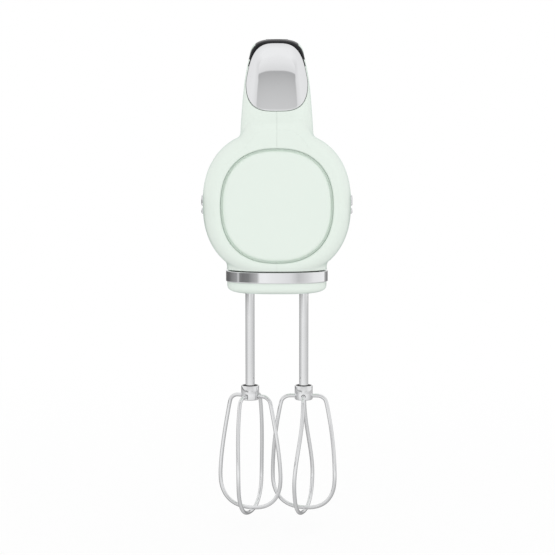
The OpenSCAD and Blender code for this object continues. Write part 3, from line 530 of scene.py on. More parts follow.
def growing_tree(name, **takes):
    tree = bpy.data.node_groups.new(name, "GeometryNodeTree")
    for label, kind in (*takes.items(), ("Material", "Material")):
        tree.interface.new_socket(label, in_out="INPUT", socket_type="NodeSocket" + kind)
    tree.interface.new_socket("Geometry", in_out="OUTPUT", socket_type="NodeSocketGeometry")
    return tree, tree.nodes.new("NodeGroupInput").outputs


def put_out(tree, made, given):
    real = grow(tree, "RealizeInstances", {0: made})
    dressed = grow(tree, "SetMaterial", {0: real, "Material": given["Material"]})
    tree.links.new(dressed.outputs[0], tree.nodes.new("NodeGroupOutput").inputs[0])


def grown(name, tree, points=((0, 0, 0),), edges=(), **inputs):
    holder = new_piece(name, points, [], edges)
    step = holder.modifiers.new(name, "NODES")
    step.node_group = tree
    for socket in tree.interface.items_tree:
        if socket.in_out == "INPUT" and socket.name in inputs:
            step[socket.identifier] = inputs[socket.name]
    return worked(holder)


row_tree, given = growing_tree("set_in_a_row", Slot="Object", Count="Int", Start="Vector", Step="Vector")
info = grow(row_tree, "ObjectInfo", {"Object": given["Slot"]})
line = grow(row_tree, "MeshLine", {"Count": given["Count"], "Start Location": given["Start"], "Offset": given["Step"]})
many = grow(row_tree, "InstanceOnPoints", {"Points": line, "Instance": info.outputs["Geometry"]})
put_out(row_tree, many, given)
vents = grown("vents", row_tree, Slot=slot, Count=7, Start=(28.0, 64.0, -92.0), Step=(0.0, 4.6, 0.0))
drop(slot)

trim_rows = ((-86.6, -80.3), (-91.3, -88))


def trim_plan(low, high, grow, count=48):
    half_y, half_z = 27 + grow, (high - low) / 2 + grow
    r = min(1.2, half_z - 0.05)
    c, s = circle(1, count).T
    return np.stack([-23 + np.sign(c) * (half_y - r) + r * c, (low + high) / 2 + np.sign(s) * (half_z - r) + r * s], 1)


screw_places = ((-78, -58), (12, -53), (2, -111.5), (100, -66), (80, -30))


def room_field(x, y, z):
    grip = np.clip((z + 46) / 10, 0, 1) * 0.6
    return np.maximum(casing_field(x, y, z) + wall + grip, -86 - y)


def copy_of(piece):
    again = bpy.data.objects.new(piece.name, piece.data.copy())
    scene.collection.objects.link(again)
    return again


seam_depth = 0.1
disc_hx, disc_hz = 31.8, 32.3
inlet_lean = Matrix.Translation((0, 88, -107.4)) @ Matrix.Rotation(radians(20), 4, "X")
casing_low, casing_high = (-46, -94, -128.5), (46, 114, 16)
whole_shell = skin_of("shell", casing_field, casing_low, casing_high, 1.25)
whole_hollow = skin_of("hollow", room_field, casing_low, casing_high, 2.6)


def disc_plan(inset, count):
    return outline(disc_hx - inset, disc_hz - inset, barrel_square, count) + [0, disc_z]


def casing_half(side):
    shell, hollow = copy_of(whole_shell), copy_of(whole_hollow)
    half = bmesh.new()
    half.from_mesh(shell.data)
    for x in (0.12, 0.3, 0.55):
        bmesh.ops.bisect_plane(half, geom=half.verts[:] + half.edges[:] + half.faces[:],
                               plane_co=(side * x, 0, 0), plane_no=(1, 0, 0))
    near = [v for v in half.verts if 0.05 < side * v.co.x < 0.56]
    spots = np.array([v.co for v in near])
    outward = outward_at(casing_field, spots, 0.3)
    for v, n, x in zip(near, outward, side * spots[:, 0]):
        v.co -= Vector(n * seam_depth * max(0, 1 - (x - 0.02) / 0.5) ** 2)
    bmesh.ops.triangulate(half, faces=half.faces)
    half.to_mesh(shell.data)
    half.free()
    keep = block("keep", box(0.03, 200, -200, 200) * [side, 1], -122.2, 60)
    carve(shell, hollow)
    carve(shell, keep, "INTERSECT")
    tools = [carve(made, under_inlay) for made in (plate_block(seat), panel_block(seat))] + button_blocks(0.2)
    mouth = [(-95, -1.1), (-92.3, -0.9), (-91.95, -0.6), (-91.6, -0.25), (-91.2, -0.05), (-90.8, 0), (-88.6, 0)]
    tools.append(loft("recess", [lift(disc_plan(i, 128), y, "y") for y, i in mouth]))
    sided = np.array([side, 1, 1])
    for row in trim_rows:
        tools.append(loft("trim_slot", [lift(trim_plan(*row, seat), x, "x") * sided for x in (41.3, 60)]))
    tools.append(new_piece("slots", [np.array(v.co) * sided for v in vents.data.vertices],
                           [tuple(f.vertices)[::side] for f in vents.data.polygons]))
    tools.append(block("heel", box(-20, 20, -100.3, -60.3), 110.6, 130, "y"))
    inlet = block("inlet", circle(5.2, 40), -9, 11)
    inlet.data.transform(inlet_lean)
    tools.append(inlet)
    if side < 0:
        tools += [block("screw_hole", circle(3, 32) + place, -60, -10, "x") for place in screw_places]
    for tool in tools:
        carve(shell, tool)
    drop(hollow, keep, *tools)
    return shell


def values_of(items, name, width=0, kind=np.float32):
    found = np.empty(len(items) * max(width, 1), kind)
    items.foreach_get(name, found)
    return found.reshape(-1, width) if width else found


# Corners that lie on the casing's field take its slope as their normal, so that long cut faces shade evenly
def true_to(piece, near=0.03):
    mesh = piece.data
    mesh.polygons.foreach_set("use_smooth", [True] * len(mesh.polygons))
    mesh.set_sharp_from_angle(angle=radians(32))
    points = values_of(mesh.vertices, "co", 3).astype(float)
    depth = casing_field(*points.T)
    slope = outward_at(casing_field, points)
    normal = values_of(mesh.corner_normals, "vector", 3)
    corner = values_of(mesh.loops, "vertex_index", kind=np.int32)
    corners_in = values_of(mesh.polygons, "loop_total", kind=np.int32)
    flat = np.repeat(values_of(mesh.polygons, "normal", 3), corners_in, axis=0)
    on = (np.abs(depth[corner]) < near) & ((flat * slope[corner]).sum(1) > 0.75)
    normal[on] = slope[corner][on]
    mesh.normals_split_custom_set(normal.tolist())


def settle(piece, name, body, material, slot, *replaced, smooth=40):
    piece.name = piece.data.name = name
    piece.data.transform(Matrix.Scale(0.001, 4))
    if smooth:
        piece.data.polygons.foreach_set("use_smooth", [True] * len(piece.data.polygons))
        piece.data.set_sharp_from_angle(angle=radians(smooth))
    marks = [face.material_index for face in piece.data.polygons]
    piece.data.materials.clear()
    for part in material if isinstance(material, list) else [material]:
        piece.data.materials.append(part)
    piece.data.polygons.foreach_set("material_index", [min(k, len(piece.data.materials) - 1) for k in marks])
    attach(piece, body)
    if replaced:
        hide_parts(*replaced)


# How a moulded, plated or ground surface varies: slow clouds of tone and gloss, and a fine grain.
# Cloud and grain count waves in a metre, and the grain's depth is in millionths of a metre.
life, life_in, life_out = group_of_nodes("surface_life", [
    ("Color", "Color", (1, 1, 1, 1)), ("Tint", "Color", (1, 1, 1, 1)), ("Cloud", "Float", 30.0),
    ("Grain", "Float", 1500.0), ("Roughness", "Float", 0.3), ("Spread", "Float", 0.1),
    ("Depth", "Float", 0.000002), ("Stretch", "Vector", (1, 1, 1))],
    [("Color", "Color"), ("Roughness", "Float"), ("Height", "Float")])
spot = shade(life, "TexCoord").outputs["Object"]
cloud = shade(life, "TexNoise", {"Vector": spot, "Scale": life_in["Cloud"], "Detail": 4.0, "Roughness": 0.55})
tone = sums(life, "MULTIPLY_ADD", cloud, 2.4, -0.7)
mixed = shade(life, "Mix", {0: tone, 6: life_in["Color"], 7: life_in["Tint"]}, data_type="RGBA", clamp_factor=True)
life.links.new(mixed.outputs[2], life_out["Color"])
along = shade(life, "VectorMath", {0: spot, 1: life_in["Stretch"]}, operation="MULTIPLY")
fine = shade(life, "TexNoise", {"Vector": along, "Scale": life_in["Grain"], "Detail": 3.0, "Roughness": 0.6})
touch_scale = sums(life, "MULTIPLY", life_in["Cloud"], 3.7)
touch = shade(life, "TexNoise", {"Vector": along, "Scale": touch_scale, "Detail": 5.0, "Roughness": 0.65})
swing = sums(life, "SUBTRACT", touch, 0.5)
life.links.new(sums(life, "MULTIPLY_ADD", swing, life_in["Spread"], life_in["Roughness"]), life_out["Roughness"])
life.links.new(sums(life, "MULTIPLY", fine.outputs[0], life_in["Depth"]), life_out["Height"])


def finish(name, color, tint, roughness, spread, cloud, grain=1500, depth=2, stretch=(1, 1, 1), **surface):
    made = bpy.data.materials.new(name)
    made.use_nodes = True
    tree = made.node_tree
    skin = tree.nodes["Principled BSDF"]
    node = shade(tree, "Group", {
        "Color": (*color, 1), "Tint": (*tint, 1), "Cloud": cloud, "Grain": grain, "Roughness": roughness,
        "Spread": spread, "Depth": depth * 1e-6, "Stretch": stretch}, node_tree=life)
    bump = shade(tree, "Bump", {"Height": node.outputs["Height"], "Distance": 1.0, "Strength": 1.0})
    tree.links.new(node.outputs["Color"], skin.inputs["Base Color"])
    tree.links.new(node.outputs["Roughness"], skin.inputs["Roughness"])
    tree.links.new(bump.outputs[0], skin.inputs["Normal"])
    for label, value in surface.items():
        skin.inputs[label.replace("_", " ")].default_value = value
    return made


mint = finish("mint_plastic", (0.8, 0.875, 0.81), (0.785, 0.868, 0.8), 0.3, 0.08, 14, 900, 2.2,
              Coat_Weight=0.25, Coat_Roughness=0.12)
tree = mint.node_tree
skin = tree.nodes["Principled BSDF"]
# Towards the outline, where the surface turns away from view, the mint colour is mixed darker and greener: a painted
# shade along the edges.
facing = shade(tree, "LayerWeight", {"Blend": 0.5}).outputs["Facing"]
edge_shade_share = ramp(tree, facing, [(0.0, 0.0), (0.66, 0.0), (1.0, 1.0)])
plain = skin.inputs["Base Color"].links[0].from_socket
painted_edge_shade = shade(tree, "Mix", {0: edge_shade_share, 6: plain, 7: (0.56, 0.72, 0.62, 1)}, data_type="RGBA")
tree.links.new(painted_edge_shade.outputs[2], skin.inputs["Base Color"])

for side, name in ((-1, "casing_left"), (1, "casing_right")):
    half = casing_half(side)
    true_to(half)
    settle(half, name + "_shell", "root", mint, "mint_plastic", name, smooth=0)
drop(vents, whole_shell, whole_hollow)


# -------- Nose disc
# A loose moulded disc of the same mint plastic, clipped into a round recess in the nose. It stands
# a little proud and domed, with a soft groove round it.
profile = [(-88.7, 0.1), (-89.5, 0.1), (-89.65, 0.2), (-89.7, 0.4), (-89.7, 0.8), (-89.85, 1), (-90.4, 1.15),
           (-91, 1.4), (-91.5, 1.8), (-91.85, 2.3), (-92.08, 2.9), (-92.2, 3.6), (-92.32, 5), (-92.44, 7.5),
           (-92.52, 11), (-92.57, 16), (-92.6, 22), (-92.6, 29)]
disc = loft("disc", [lift(disc_plan(i, 160), y, "y") for y, i in profile])
settle(disc, "nose_disc_face", "root", mint, "mint_plastic", "nose_disc", smooth=50)


# -------- Front plate
# A tongue of chrome-plated plastic let into the front of the handle under the black crest. Its
# edge is rounded over into a hairline gap, and its bright face follows the handle.
rings, walls = [], []
shares = list(np.linspace(0.03, 0.95, 27)) + [0.97, 0.983, 0.992, 0.997, 1.0]
plate_count = 128
middle_of_plate = np.array([0, plate_z])
flat = np.concatenate([(plate_plan(-0.2, plate_count) - middle_of_plate) * s + middle_of_plate for s in shares])
ys = np.linspace(-94, -50, 133)
deep = casing_field(flat[:, 0][:, None], ys[None, :], flat[:, 1][:, None])
first = np.argmax(deep < 0, axis=1)
far, near = ys[np.maximum(first - 1, 0)], ys[first]
for _ in range(30):
    middle = (far + near) / 2
    within = casing_field(flat[:, 0], middle, flat[:, 1]) < 0
    near, far = np.where(within, middle, near), np.where(within, far, middle)
spots = np.stack([flat[:, 0], (near + far) / 2, flat[:, 1]], 1)
outward = outward_at(casing_field, spots)
spots, outward = (part.reshape(len(shares), plate_count, 3) for part in (spots, outward))
edge = {0.95: 0.3, 0.97: 0.29, 0.983: 0.25, 0.992: 0.18, 0.997: 0.09, 1.0: -0.05}
for s, p, n in zip(shares, spots, outward):
    rings.append(p + n * edge.get(round(float(s), 3), 0.3))
for depth, s in ((-0.6, 1.0), (-1.5, 1.0), (-1.5, 0.95), (-1.5, 0.5), (-1.5, 0.03)):
    k = int(np.argmin(np.abs(np.array(shares) - s)))
    rings.append(spots[k] + outward[k] * depth)
plate = loft("plate", rings)
chrome = finish("chrome_plating", (0.86, 0.865, 0.875), (0.84, 0.845, 0.86), 0.055, 0.05, 25, 700, 0.6, Metallic=1.0)
settle(plate, "front_plate_face", "root", chrome, "chromed_plastic", "front_plate", smooth=50)


# -------- Control panel
# A strip of piano-black plastic along the top of the handle, that widens to a crest round the top
# of the bright plate. It is snapped in flush, with round holes for the buttons and a window.
panel = skin_of("panel", hand_area(0), hand_low, hand_high, 0.8)
region = panel_block(0)
carve(panel, region, "INTERSECT")
below = skin_of("below", hand_area(1.6), hand_low, hand_high, 1.1)
carve(panel, below)
tongue = plate_block(seat)
carve(panel, tongue)
for hole in button_blocks(0):
    carve(panel, hole)
    drop(hole)
drop(region, below, tongue, under_inlay)
true_to(panel)
piano_black = finish("piano_black", (0.012, 0.012, 0.014), (0.02, 0.02, 0.022), 0.16, 0.08, 40, 1200, 0.8)
tree = piano_black.node_tree
facing = shade(tree, "LayerWeight", {"Blend": 0.5}).outputs["Facing"]
tree.links.new(ramp(tree, facing, [(0.0, 0.4), (0.42, 0.3), (0.62, 0.002), (1.0, 0.0014)]),
               tree.nodes["Principled BSDF"].inputs["Specular IOR Level"])
settle(panel, "control_panel_face", "root", piano_black, "black_plastic", "control_panel", smooth=0)


# -------- Display window
# A dark tinted window set flush in the black panel. Behind it a small row of light bars rises
# with the speed.
window = loft("window", [lift(outline(6.9 - i, 4.9 - i, 8, 64) + [0, window_y], z)
                         for z, i in ((8.6, 0), (11.2, 0), (11.42, 0.08), (11.55, 0.25), (11.6, 0.5), (11.6, 3))])
tinted = finish("tinted_window", (0.02, 0.022, 0.026), (0.03, 0.033, 0.038), 0.06, 0.04, 60,
                Coat_Weight=0.8, Coat_Roughness=0.02)
tree = tinted.node_tree
spot = shade(tree, "SeparateXYZ", {0: shade(tree, "TexCoord").outputs["Object"]})
across = sums(tree, "MULTIPLY_ADD", spot, 1000 / 1.7, 3.0)
number = sums(tree, "FLOOR", across)
inside_bar = sums(tree, "COMPARE", sums(tree, "FRACT", across), 0.5, 0.31)
tall = sums(tree, "MULTIPLY_ADD", number, 0.55, 1.0)
back = sums(tree, "MULTIPLY_ADD", spot.outputs[1], 1000.0, 35.2)
lit = sums(tree, "MULTIPLY", sums(tree, "GREATER_THAN", back, 0.0), sums(tree, "LESS_THAN", back, tall))
counted = sums(tree, "MULTIPLY", sums(tree, "GREATER_THAN", number, -0.5), sums(tree, "LESS_THAN", number, 5.5))
lit = sums(tree, "MULTIPLY", sums(tree, "MULTIPLY", lit, inside_bar), counted)
skin = tree.nodes["Principled BSDF"]
tree.links.new(ramp(tree, lit, [(0.0, (0.0, 0.0, 0.0)), (1.0, (0.30, 0.34, 0.36))]), skin.inputs["Emission Color"])
skin.inputs["Emission Strength"].default_value = 1.0
settle(window, "display_window", "root", tinted, "lens", "display_lens")


# -------- Buttons
# Four round push buttons of satin dark plastic with dished tops and printed signs, and a larger
# bright one that throws out the beaters. Each rides on its own spring.
def button(name, y, r, top, tip=0):
    profile = [(r + 0.75, -4.2), (r + 0.75, -3.3), (r, -3.25), (r, -0.5), (r - 0.08, -0.25), (r - 0.25, -0.08),
               (r - 0.5, 0), (r - 0.8, -0.03), (r - 1.3, -0.13), (r - 2, -0.24), (r - 2.9, -0.3), (0.4, -0.32)]
    made = turned(name, profile, 64)
    made.data.transform(Matrix.Translation((0, y, top)) @ Matrix.Rotation(radians(tip), 4, "X"))
    return made


def bar(length, width, turn=0, at=(0, 0)):
    p = outline(length / 2, width / 2, 6, 20)
    a = radians(turn)
    return p @ np.array([[cos(a), sin(a)], [-sin(a), cos(a)]]) + at


def arc(r, width, start, end, steps=28):
    a = np.radians(np.linspace(start, end, steps))
    c = np.stack([np.cos(a), np.sin(a)], 1)
    return np.concatenate([c * (r + width / 2), c[::-1] * (r - width / 2)])


satin_black = finish("satin_black", (0.035, 0.036, 0.038), (0.05, 0.051, 0.054), 0.42, 0.12, 120, 4000, 6)
white_print = finish("white_print", (0.78, 0.79, 0.78), (0.7, 0.71, 0.7), 0.5, 0.1, 400, 5000, 4)
signs = {"power": [arc(1.5, 0.34, -240, 60), bar(0.34, 1.5, 0, (0, 1.15))], "minus": [bar(2.8, 0.45)],
         "plus": [bar(2.8, 0.45), bar(0.45, 2.8)],
         "turbo": [bar(1.9, 0.4, tilt, (x, y)) for tilt, y in ((50, -0.55), (-50, 0.55)) for x in (-0.55, 0.75)]}
handle_top, handle_bow, sunk = 13, 0.0035, 0.1
for name, y in press_places.items():
    top = handle_top - handle_bow * y * y - sunk
    cap = button(name, y, 4.2, top)
    work = bmesh.new()
    work.from_mesh(cap.data)
    for plan in signs[name]:
        dish = [top - 0.32 + 0.02 * min(1, hypot(*p)) ** 2 for p in plan]
        face, foot = ([work.verts.new((p[0], y + p[1], z + up)) for p, z in zip(plan, dish)] for up in (0.03, -0.2))
        after = [i + 1 - len(plan) for i in range(len(plan))]
        for corners in (face, foot[::-1], *((face[j], face[j - 1], foot[j - 1], foot[j]) for j in after)):
            work.faces.new(corners).material_index = 1
    bmesh.ops.triangulate(work, faces=[f for f in work.faces if f.material_index == 1 and len(f.verts) > 4])
    bmesh.ops.recalc_face_normals(work, faces=work.faces)
    work.to_mesh(cap.data)
    work.free()
    stem = block("stem", circle(1.4, 24) + [0, y], 5.4, top - 4.1)
    settle(cap, name + "_cap", name, [satin_black, white_print], "black_plastic")
    settle(stem, name + "_stem", name, satin_black, "black_plastic", name + "_button")

satin_metal = finish("satin_metal", (0.62, 0.63, 0.64), (0.56, 0.57, 0.585), 0.3, 0.14, 90, 3000, 3, Metallic=1.0)
thrower = button("eject", eject_y, 5.0, 10.2, 5.5)
stem = block("eject_stem", circle(4.0, 32) + [0, eject_y], -0.6, 6.7)
settle(stem, "eject_stem", "ejector", satin_black, "black_plastic")
settle(thrower, "eject_cap", "ejector", satin_metal, "bright_steel", "eject_button")


# -------- Chrome band
# A hoop of chrome-plated plastic round the base, between the casing and the bottom cover. Its face
# is upright and stands 0.6 mm proud, with eased edges.
def base_plan(grow, count=144):
    x, y = outline(base_x + grow, base_y + grow, 2.4, count).T
    return np.stack([x, y + np.where(y > 0, base_back, base_front)], 1)


profile = [(-1.7, -129.15), (-1.7, -122.95), (0.42, -122.95), (0.53, -123.01), (0.58, -123.1),
           (0.6, -123.2), (0.6, -123.3), (0.6, -125.7), (0.6, -128.7), (0.6, -128.8), (0.58, -128.95),
           (0.53, -129.06), (0.42, -129.13), (0.15, -129.15)]
band = stacked("band", base_plan, profile, ring_shaped=True)
settle(band, "chrome_band_hoop", "root", chrome, "chromed_plastic", "chrome_band", smooth=50)


# -------- Bottom cover
# A shallow tray of mint plastic that closes the base under the band, with two raised collars for
# the beaters, held by four sunk screws.
bowl = [(-8.2 * t ** 4.5 - 0.12 * (1 - t), -129.25 - 6.75 * (1 - (1 - t) ** 1.15))
        for t in (0.02, 0.2, 0.35, 0.48, 0.58, 0.67, 0.75, 0.82, 0.88, 0.93, 0.97, 1.0)]
cover = stacked("cover", base_plan, [(-0.3, -129.2), *bowl, (-9.6, -136)])
for x in (-axis_x, axis_x):
    collar = turned("collar", [(6.9, -135.4), (6.5, -135.9), (6.05, -136.15), (5.8, -136.5), (5.6, -136.85),
                               (5.35, -137), (4.6, -137), (4.6, -134)], 64, [x, axis_y])
    carve(cover, collar, "UNION")
    drop(collar)
tray = block("tray", base_plan(-5.4), -133.8, -120)
carve(cover, tray)
lip = stacked("lip", base_plan, ((-2.1, -131), (-2.1, -122.9), (-5.3, -122.9), (-5.3, -131)), ring_shaped=True)
carve(cover, lip, "UNION")
cover_screw_places = [(x, y) for x in (-17, 17) for y in (-69.4, -17)]
posts = [block("post", circle(4, 32) + p, -134, -129.4) for p in cover_screw_places]
for post in posts:
    carve(cover, post, "UNION")
socket = [(4.9, -137.5), (4.75, -137), (4.4, -136.8), (4.2, -136.4), (4.2, -120)]
screw_seat = [(3.7, -136.6), (3.35, -136), (3.2, -135.7), (3.2, -134.8), (1.7, -134.8), (1.7, -120)]
bores = [turned("bore", socket, 64, [x, axis_y]) for x in (-axis_x, axis_x)]
bores += [turned("bore", screw_seat, 40, p) for p in cover_screw_places]
for bore in bores:
    carve(cover, bore)
drop(tray, lip, *posts, *bores)
settle(cover, "bottom_cover_tray", "root", mint, "mint_plastic", "bottom_cover", smooth=32)


# -------- Screws
# Zinc-plated thread-forming screws with pan heads and crossed recesses. Four hold the bottom cover
# from below and five draw the casing halves together from the left side.
def cross_screw(head_r, head_t, shank_length):
    head = turned("screw", [
        (1.45, shank_length), (1.5, 0.05), (head_r - 0.15, 0), (head_r, -0.15), (head_r, -head_t * 0.45),
        (head_r * 0.93, -head_t * 0.75), (head_r * 0.75, -head_t * 0.93), (head_r * 0.45, -head_t), (0.3, -head_t)], 40)
    for angle in (0, 90):
        slot = loft("slot", [lift(outline(a, b, 5, 20), z) for a, b, z in (
            (1.9, 0.48, -head_t - 0.5), (1.5, 0.4, -head_t * 0.5), (0.8, 0.3, 0.3))])
        slot.data.transform(Matrix.Rotation(radians(angle), 4, "Z"))
        carve(head, slot)
        drop(slot)
    return head


scatter, given = growing_tree("screws_at_points", Points="Geometry", Screw="Object", Axis="Vector", Seed="Int")
info = grow(scatter, "ObjectInfo", {"Object": given["Screw"]})
angle = shade(scatter, "RandomValue", {2: 0.0, 3: 1.57, "Seed": given["Seed"]}, "FunctionNode", data_type="FLOAT")
spun = shade(scatter, "VectorMath", {0: given["Axis"]}, operation="SCALE")
scatter.links.new(angle.outputs[1], spun.inputs["Scale"])
many = grow(scatter, "InstanceOnPoints", {
    "Points": given["Points"], "Instance": info.outputs["Geometry"], "Rotation": spun})
put_out(scatter, many, given)

zinc = finish("zinc_plating", (0.52, 0.53, 0.55), (0.42, 0.43, 0.45), 0.32, 0.2, 250, 3500, 4, Metallic=1.0)
screw = cross_screw(2.9, 1.9, 9.9)
made = grown("cover_screws_set", scatter, [(*p, -134.8) for p in cover_screw_places],
             Screw=screw, Axis=(0.0, 0.0, 1.0), Seed=3, Material=zinc)
settle(made, "cover_screws_set", "root", zinc, "plain_steel", "cover_screws")
side_screw = cross_screw(2.8, 2.1, 16.7)
side_screw.data.transform(Matrix.Rotation(radians(90), 4, "Y"))
made = grown("casing_screws_set", scatter, [(-10.0, *p) for p in screw_places],
             Screw=side_screw, Axis=(1.0, 0.0, 0.0), Seed=8, Material=zinc)
drop(screw, side_screw)
settle(made, "casing_screws_set", "root", zinc, "plain_steel", "casing_screws")


# -------- Side trim
# Two bright bars on each flank of the barrel, a broad one over a thin one, chrome-plated with
# rounded ends and pressed into slots in the casing.
for side, name in ((-1, "side_trim_left"), (1, "side_trim_right")):
    pieces = []
    for row in trim_rows:
        profile = [(41.35, 0), (44, 0), (44.3, 0.08), (44.52, 0.22), (44.65, 0.45), (44.7, 0.8), (44.7, 1.1)]
        pieces.append(loft("bar", [lift(trim_plan(*row, -i), x, "x") * [side, 1, 1] for x, i in profile]))
    carve(pieces[0], pieces[1], "UNION")
    settle(pieces[0], name + "_bars", "root", chrome, "chromed_plastic", name, smooth=50)
    drop(pieces[1])


# -------- Heel pad and cord inlet
# A soft rubber pad with moulded ribs lets the mixer rest on its heel, and a black grommet below it
# takes the mains lead. A clamp inside holds the lead against a post.
pad_z = barrel_z + 6
pad_profile = ((110.7, 0), (112.7, 0), (113.1, 0.1), (113.4, 0.35), (113.55, 0.75), (113.6, 1.3), (113.6, 6))
pad = loft("pad", [lift(outline(14.5 - i, 14 - i, barrel_square, 96) + [0, pad_z], y, "y") for y, i in pad_profile])
for z in range(-10, 11, 5):
    groove = loft("groove", [lift(outline(9, 0.5 + flare, 6, 32) + [0, pad_z + z], y, "y")
                             for y, flare in ((112.8, 0), (113.4, 0.02), (113.7, 0.2))])
    carve(pad, groove)
    drop(groove)
rubber = finish("soft_rubber", (0.58, 0.655, 0.60), (0.53, 0.6, 0.55), 0.72, 0.12, 60, 2600, 10)
settle(pad, "heel_pad_ribbed", "root", rubber, "soft_rubber", "heel_pad")

grommet = turned("grommet", [
    (3.6, -4.4), (6.4, -4.4), (6.72, -4.25), (6.8, -3.9), (6.8, -1.2), (6.6, -0.75), (6.2, -0.6), (5, -0.6),
    (5, 3.8), (6.4, 3.8), (6.4, 5.6), (3.6, 5.6)], 64, ring_shaped=True)
grommet.data.transform(inlet_lean)
black_nylon = finish("black_nylon", (0.022, 0.022, 0.024), (0.035, 0.035, 0.037), 0.5, 0.12, 90, 3000, 8)
settle(grommet, "cord_inlet_grommet", "root", black_nylon, "black_plastic", "cord_inlet")


# -------- Gearbox, motor and electrics
# Inside the casing: a nylon gearbox frame with its lid, sintered bushes, a laminated universal motor
# with copper windings, its fan, worm and brushes, the control board, and the steel ejector rod.
def dress(material, *names):
    for name in names:
        for spot in cad[name].material_slots:
            spot.material = material


nylon = finish("nylon_frame", (0.68, 0.68, 0.65), (0.62, 0.62, 0.58), 0.55, 0.12, 70, 2500, 8)
steel = finish("bright_steel", (0.66, 0.665, 0.675), (0.60, 0.605, 0.615), 0.24, 0.12, 80, 2500, 2, Metallic=1.0)
iron = finish("laminated_iron", (0.28, 0.285, 0.3), (0.2, 0.2, 0.21), 0.45, 0.2, 120, 2000, 10, (0.05, 1, 0.05),
              Metallic=1.0)
copper = finish("enamelled_copper", (0.62, 0.23, 0.09), (0.48, 0.15, 0.05), 0.35, 0.15, 150, 2400, 30, (1, 0.1, 1),
                Metallic=1.0)
brass = finish("rolled_brass", (0.68, 0.5, 0.2), (0.58, 0.41, 0.15), 0.35, 0.15, 120, 2400, 3, Metallic=1.0)
bronze = finish("sintered_bronze", (0.47, 0.3, 0.13), (0.36, 0.22, 0.09), 0.5, 0.15, 200, 3500, 10, Metallic=1.0)
carbon = finish("pressed_carbon", (0.03, 0.03, 0.031), (0.05, 0.05, 0.05), 0.6, 0.15, 300, 4000, 6)
acetal = finish("white_acetal", (0.8, 0.78, 0.7), (0.74, 0.71, 0.62), 0.4, 0.1, 100, 2200, 4)
board = finish("green_board", (0.02, 0.16, 0.06), (0.015, 0.11, 0.04), 0.35, 0.12, 300, 2500, 10)
dress(nylon, "gearbox_frame", "gearbox_lid", "cooling_fan")
dress(acetal, "worm_wheel_left", "worm_wheel_right")
dress(bronze, "spindle_bushes", "front_bearing", "rear_bearing")
dress(iron, "motor_stator", "armature_core")
dress(copper, "field_coils", "armature_windings", "commutator")
dress(brass, "brush_holders")
dress(carbon, "carbon_brushes")
dress(black_nylon, "rear_bracket")
dress(zinc, "frame_screws", "motor_screws")
dress(steel, "motor_shaft", "worm", "spindle_left", "spindle_right", "detent_clip_left", "detent_clip_right",
      "eject_rod", "eject_spring", "power_spring", "minus_spring", "plus_spring", "turbo_spring")
for name, order in (("control_board", (board, black_nylon, zinc)), ("cord_clamp", (nylon, zinc))):
    for k, spot in enumerate(cad[name].material_slots):
        spot.material = order[min(k, len(order) - 1)]


# -------- Beaters
# Two stainless steel beaters: a round shank with drive wings at the top, a turned hub with a hollow
# rim swaged on its foot, and two bent wire loops through the hub that cross under each other.
wire_z, wire_r = -200.9, 1.15
beater_steel = finish("stainless_steel", (0.86, 0.865, 0.87), (0.82, 0.826, 0.835), 0.085, 0.06, 60, 2200, 0.8,
                      (1, 1, 0.08), Metallic=1.0)
# A dark steel for the hub's hollows and underside: a painted shade.
scaled_steel = finish("scaled_steel", (0.16, 0.158, 0.156), (0.22, 0.217, 0.214), 0.38, 0.14, 300, 2600, 4,
                      Metallic=1.0)
wire_tree, given = growing_tree("wire_along_path", Path="Geometry", Radius="Float", Sides="Int")
course = grow(wire_tree, "MeshToCurve", {0: given["Path"]})
section = grow(wire_tree, "CurvePrimitiveCircle", {"Resolution": given["Sides"], "Radius": given["Radius"]})
tube = grow(wire_tree, "CurveToMesh", {0: course, "Profile Curve": section, "Fill Caps": True})
put_out(wire_tree, tube, given)

# Half a loop runs out of the hub, over its shoulder, down its flank and round its foot
loop_r, foot_z, foot_square = 19.5, -49.1, 2.4


def loop_path(fall):
    side = [(3.2 + 5.0 * t, 0.0) for t in (0, 0.35, 0.7, 1.0)]
    side += [(8.2 + 5.9 * sin(a), -5.9 * (1 - cos(a))) for a in np.radians(np.arange(6, 67, 6))]
    side += [(loop_r - 5.6 * (1 - t) ** 1.6, -5.2 - 43.9 * t) for t in np.linspace(0.06, 1, 24)]
    side += [(loop_r * cos(a) ** (2 / foot_square), foot_z - (loop_r + fall) * sin(a) ** (2 / foot_square))
             for a in np.radians(np.arange(4, 90, 4))]
    half = np.array(side)
    whole = np.concatenate([half, [[0, foot_z - loop_r - fall]], half[::-1] * [-1, 1]])
    for _ in range(2):
        whole[1:-1] = (whole[:-2] + 2 * whole[1:-1] + whole[2:]) / 4
    return lift(whole, 0, "y")


def twisted(path, turn, start, end):
    x, y, z = path.T
    a = radians(turn) * eased(np.clip((z - start) / (end - start), 0, 1))
    return np.stack([x * np.cos(a) - y * np.sin(a), x * np.sin(a) + y * np.cos(a), z], 1)


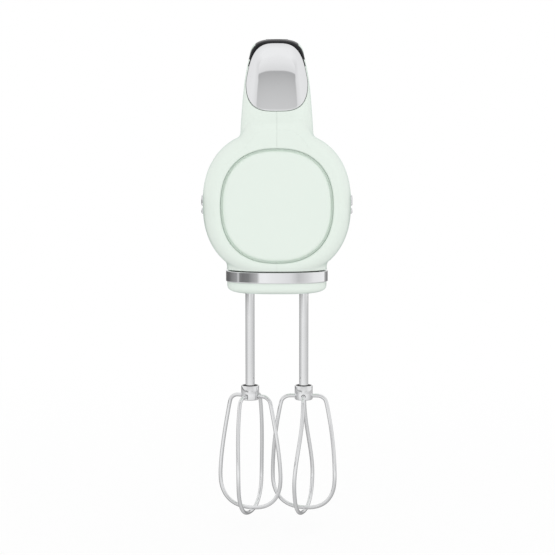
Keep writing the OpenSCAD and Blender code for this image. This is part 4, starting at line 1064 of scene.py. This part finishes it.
for side, name, angle, twist in ((-1, "left", -26.0, 6.0), (1, "right", -2.5, -15.0)):
    body = f"beater_{name}"
    put = Matrix.Translation((side * axis_x, axis_y, 0)) @ Matrix.Rotation(radians(angle), 4, "Z")
    shank = turned("shank", [
        (0.5, -98.5), (1.7, -98.6), (2.4, -99), (2.85, -99.8), (3, -100.8), (3, -103.3), (2.62, -103.5),
        (2.55, -104), (2.62, -104.5), (3, -104.7), (3, -128.5), (2.8, -129.4), (2.75, -130.5), (2.75, -130.8),
        (2.75, -150), (2.75, -202.7), (2.75, -203), (2.8, -203.2), (0.5, -203.2)], 48)
    wings = loft("wings", [lift(outline(a, b, 7, 32), z) for a, b, z in (
        (3.5, 0.6, -126.45), (3.9, 0.8, -125.9), (3.9, 0.8, -123.2), (3.6, 0.65, -122.55))])
    carve(shank, wings, "UNION")
    drop(wings)
    shank.data.transform(put)
    settle(shank, f"beater_shank_{name}_turned", body, beater_steel, "bright_steel", f"beater_shank_{name}", smooth=35)
    hub = turned("hub", [
        (3.02, -198.4), (4.2, -198.4), (4.55, -198.1), (4.6, -197.6), (4.6, -194.9), (4.7, -194.65), (5, -194.6),
        (5.3, -194.7), (5.4, -195), (5.4, -202.5), (5.3, -202.95), (4.95, -203.2), (3.02, -203.2)], 64,
        ring_shaped=True)
    for turn_more in (0, 90):
        hole = block("hole", circle(1.32, 24) + [0, wire_z], -8, 8, "x")
        hole.data.transform(Matrix.Rotation(radians(turn_more), 4, "Z"))
        carve(hub, hole)
        drop(hole)
    # Faces inside the cup at the top, and in the bore, the wire holes and the underside below it, take the dark steel:
    # a painted shade.
    for face in hub.data.polygons:
        r, z = hypot(*face.center[:2]), face.center[2]
        face.material_index = int(r < 4.66 and z > -198.6 or r < 4.8 and z < -198.7)
    hub.data.transform(put)
    settle(hub, f"beater_hub_{name}_turned", body, [beater_steel, scaled_steel], "bright_steel", f"beater_hub_{name}",
           smooth=35)
    for kind, more, fall in (("short_loop", 0, 0.0), ("long_loop", 90, 2.6)):
        path = loop_path(fall) @ np.array(Matrix.Rotation(radians(more), 3, "Z").transposed())
        wire = grown(kind, wire_tree, twisted(path, twist, -3.0, -52.0), [(i, i + 1) for i in range(len(path) - 1)],
                     Radius=wire_r, Sides=20, Material=beater_steel)
        faced_outward(wire, 0.001)
        wire.data.transform(put @ Matrix.Translation((0, 0, wire_z)))
        settle(wire, f"{kind}_{name}_wire", body, beater_steel, "bright_steel", f"{kind}_{name}", smooth=60)
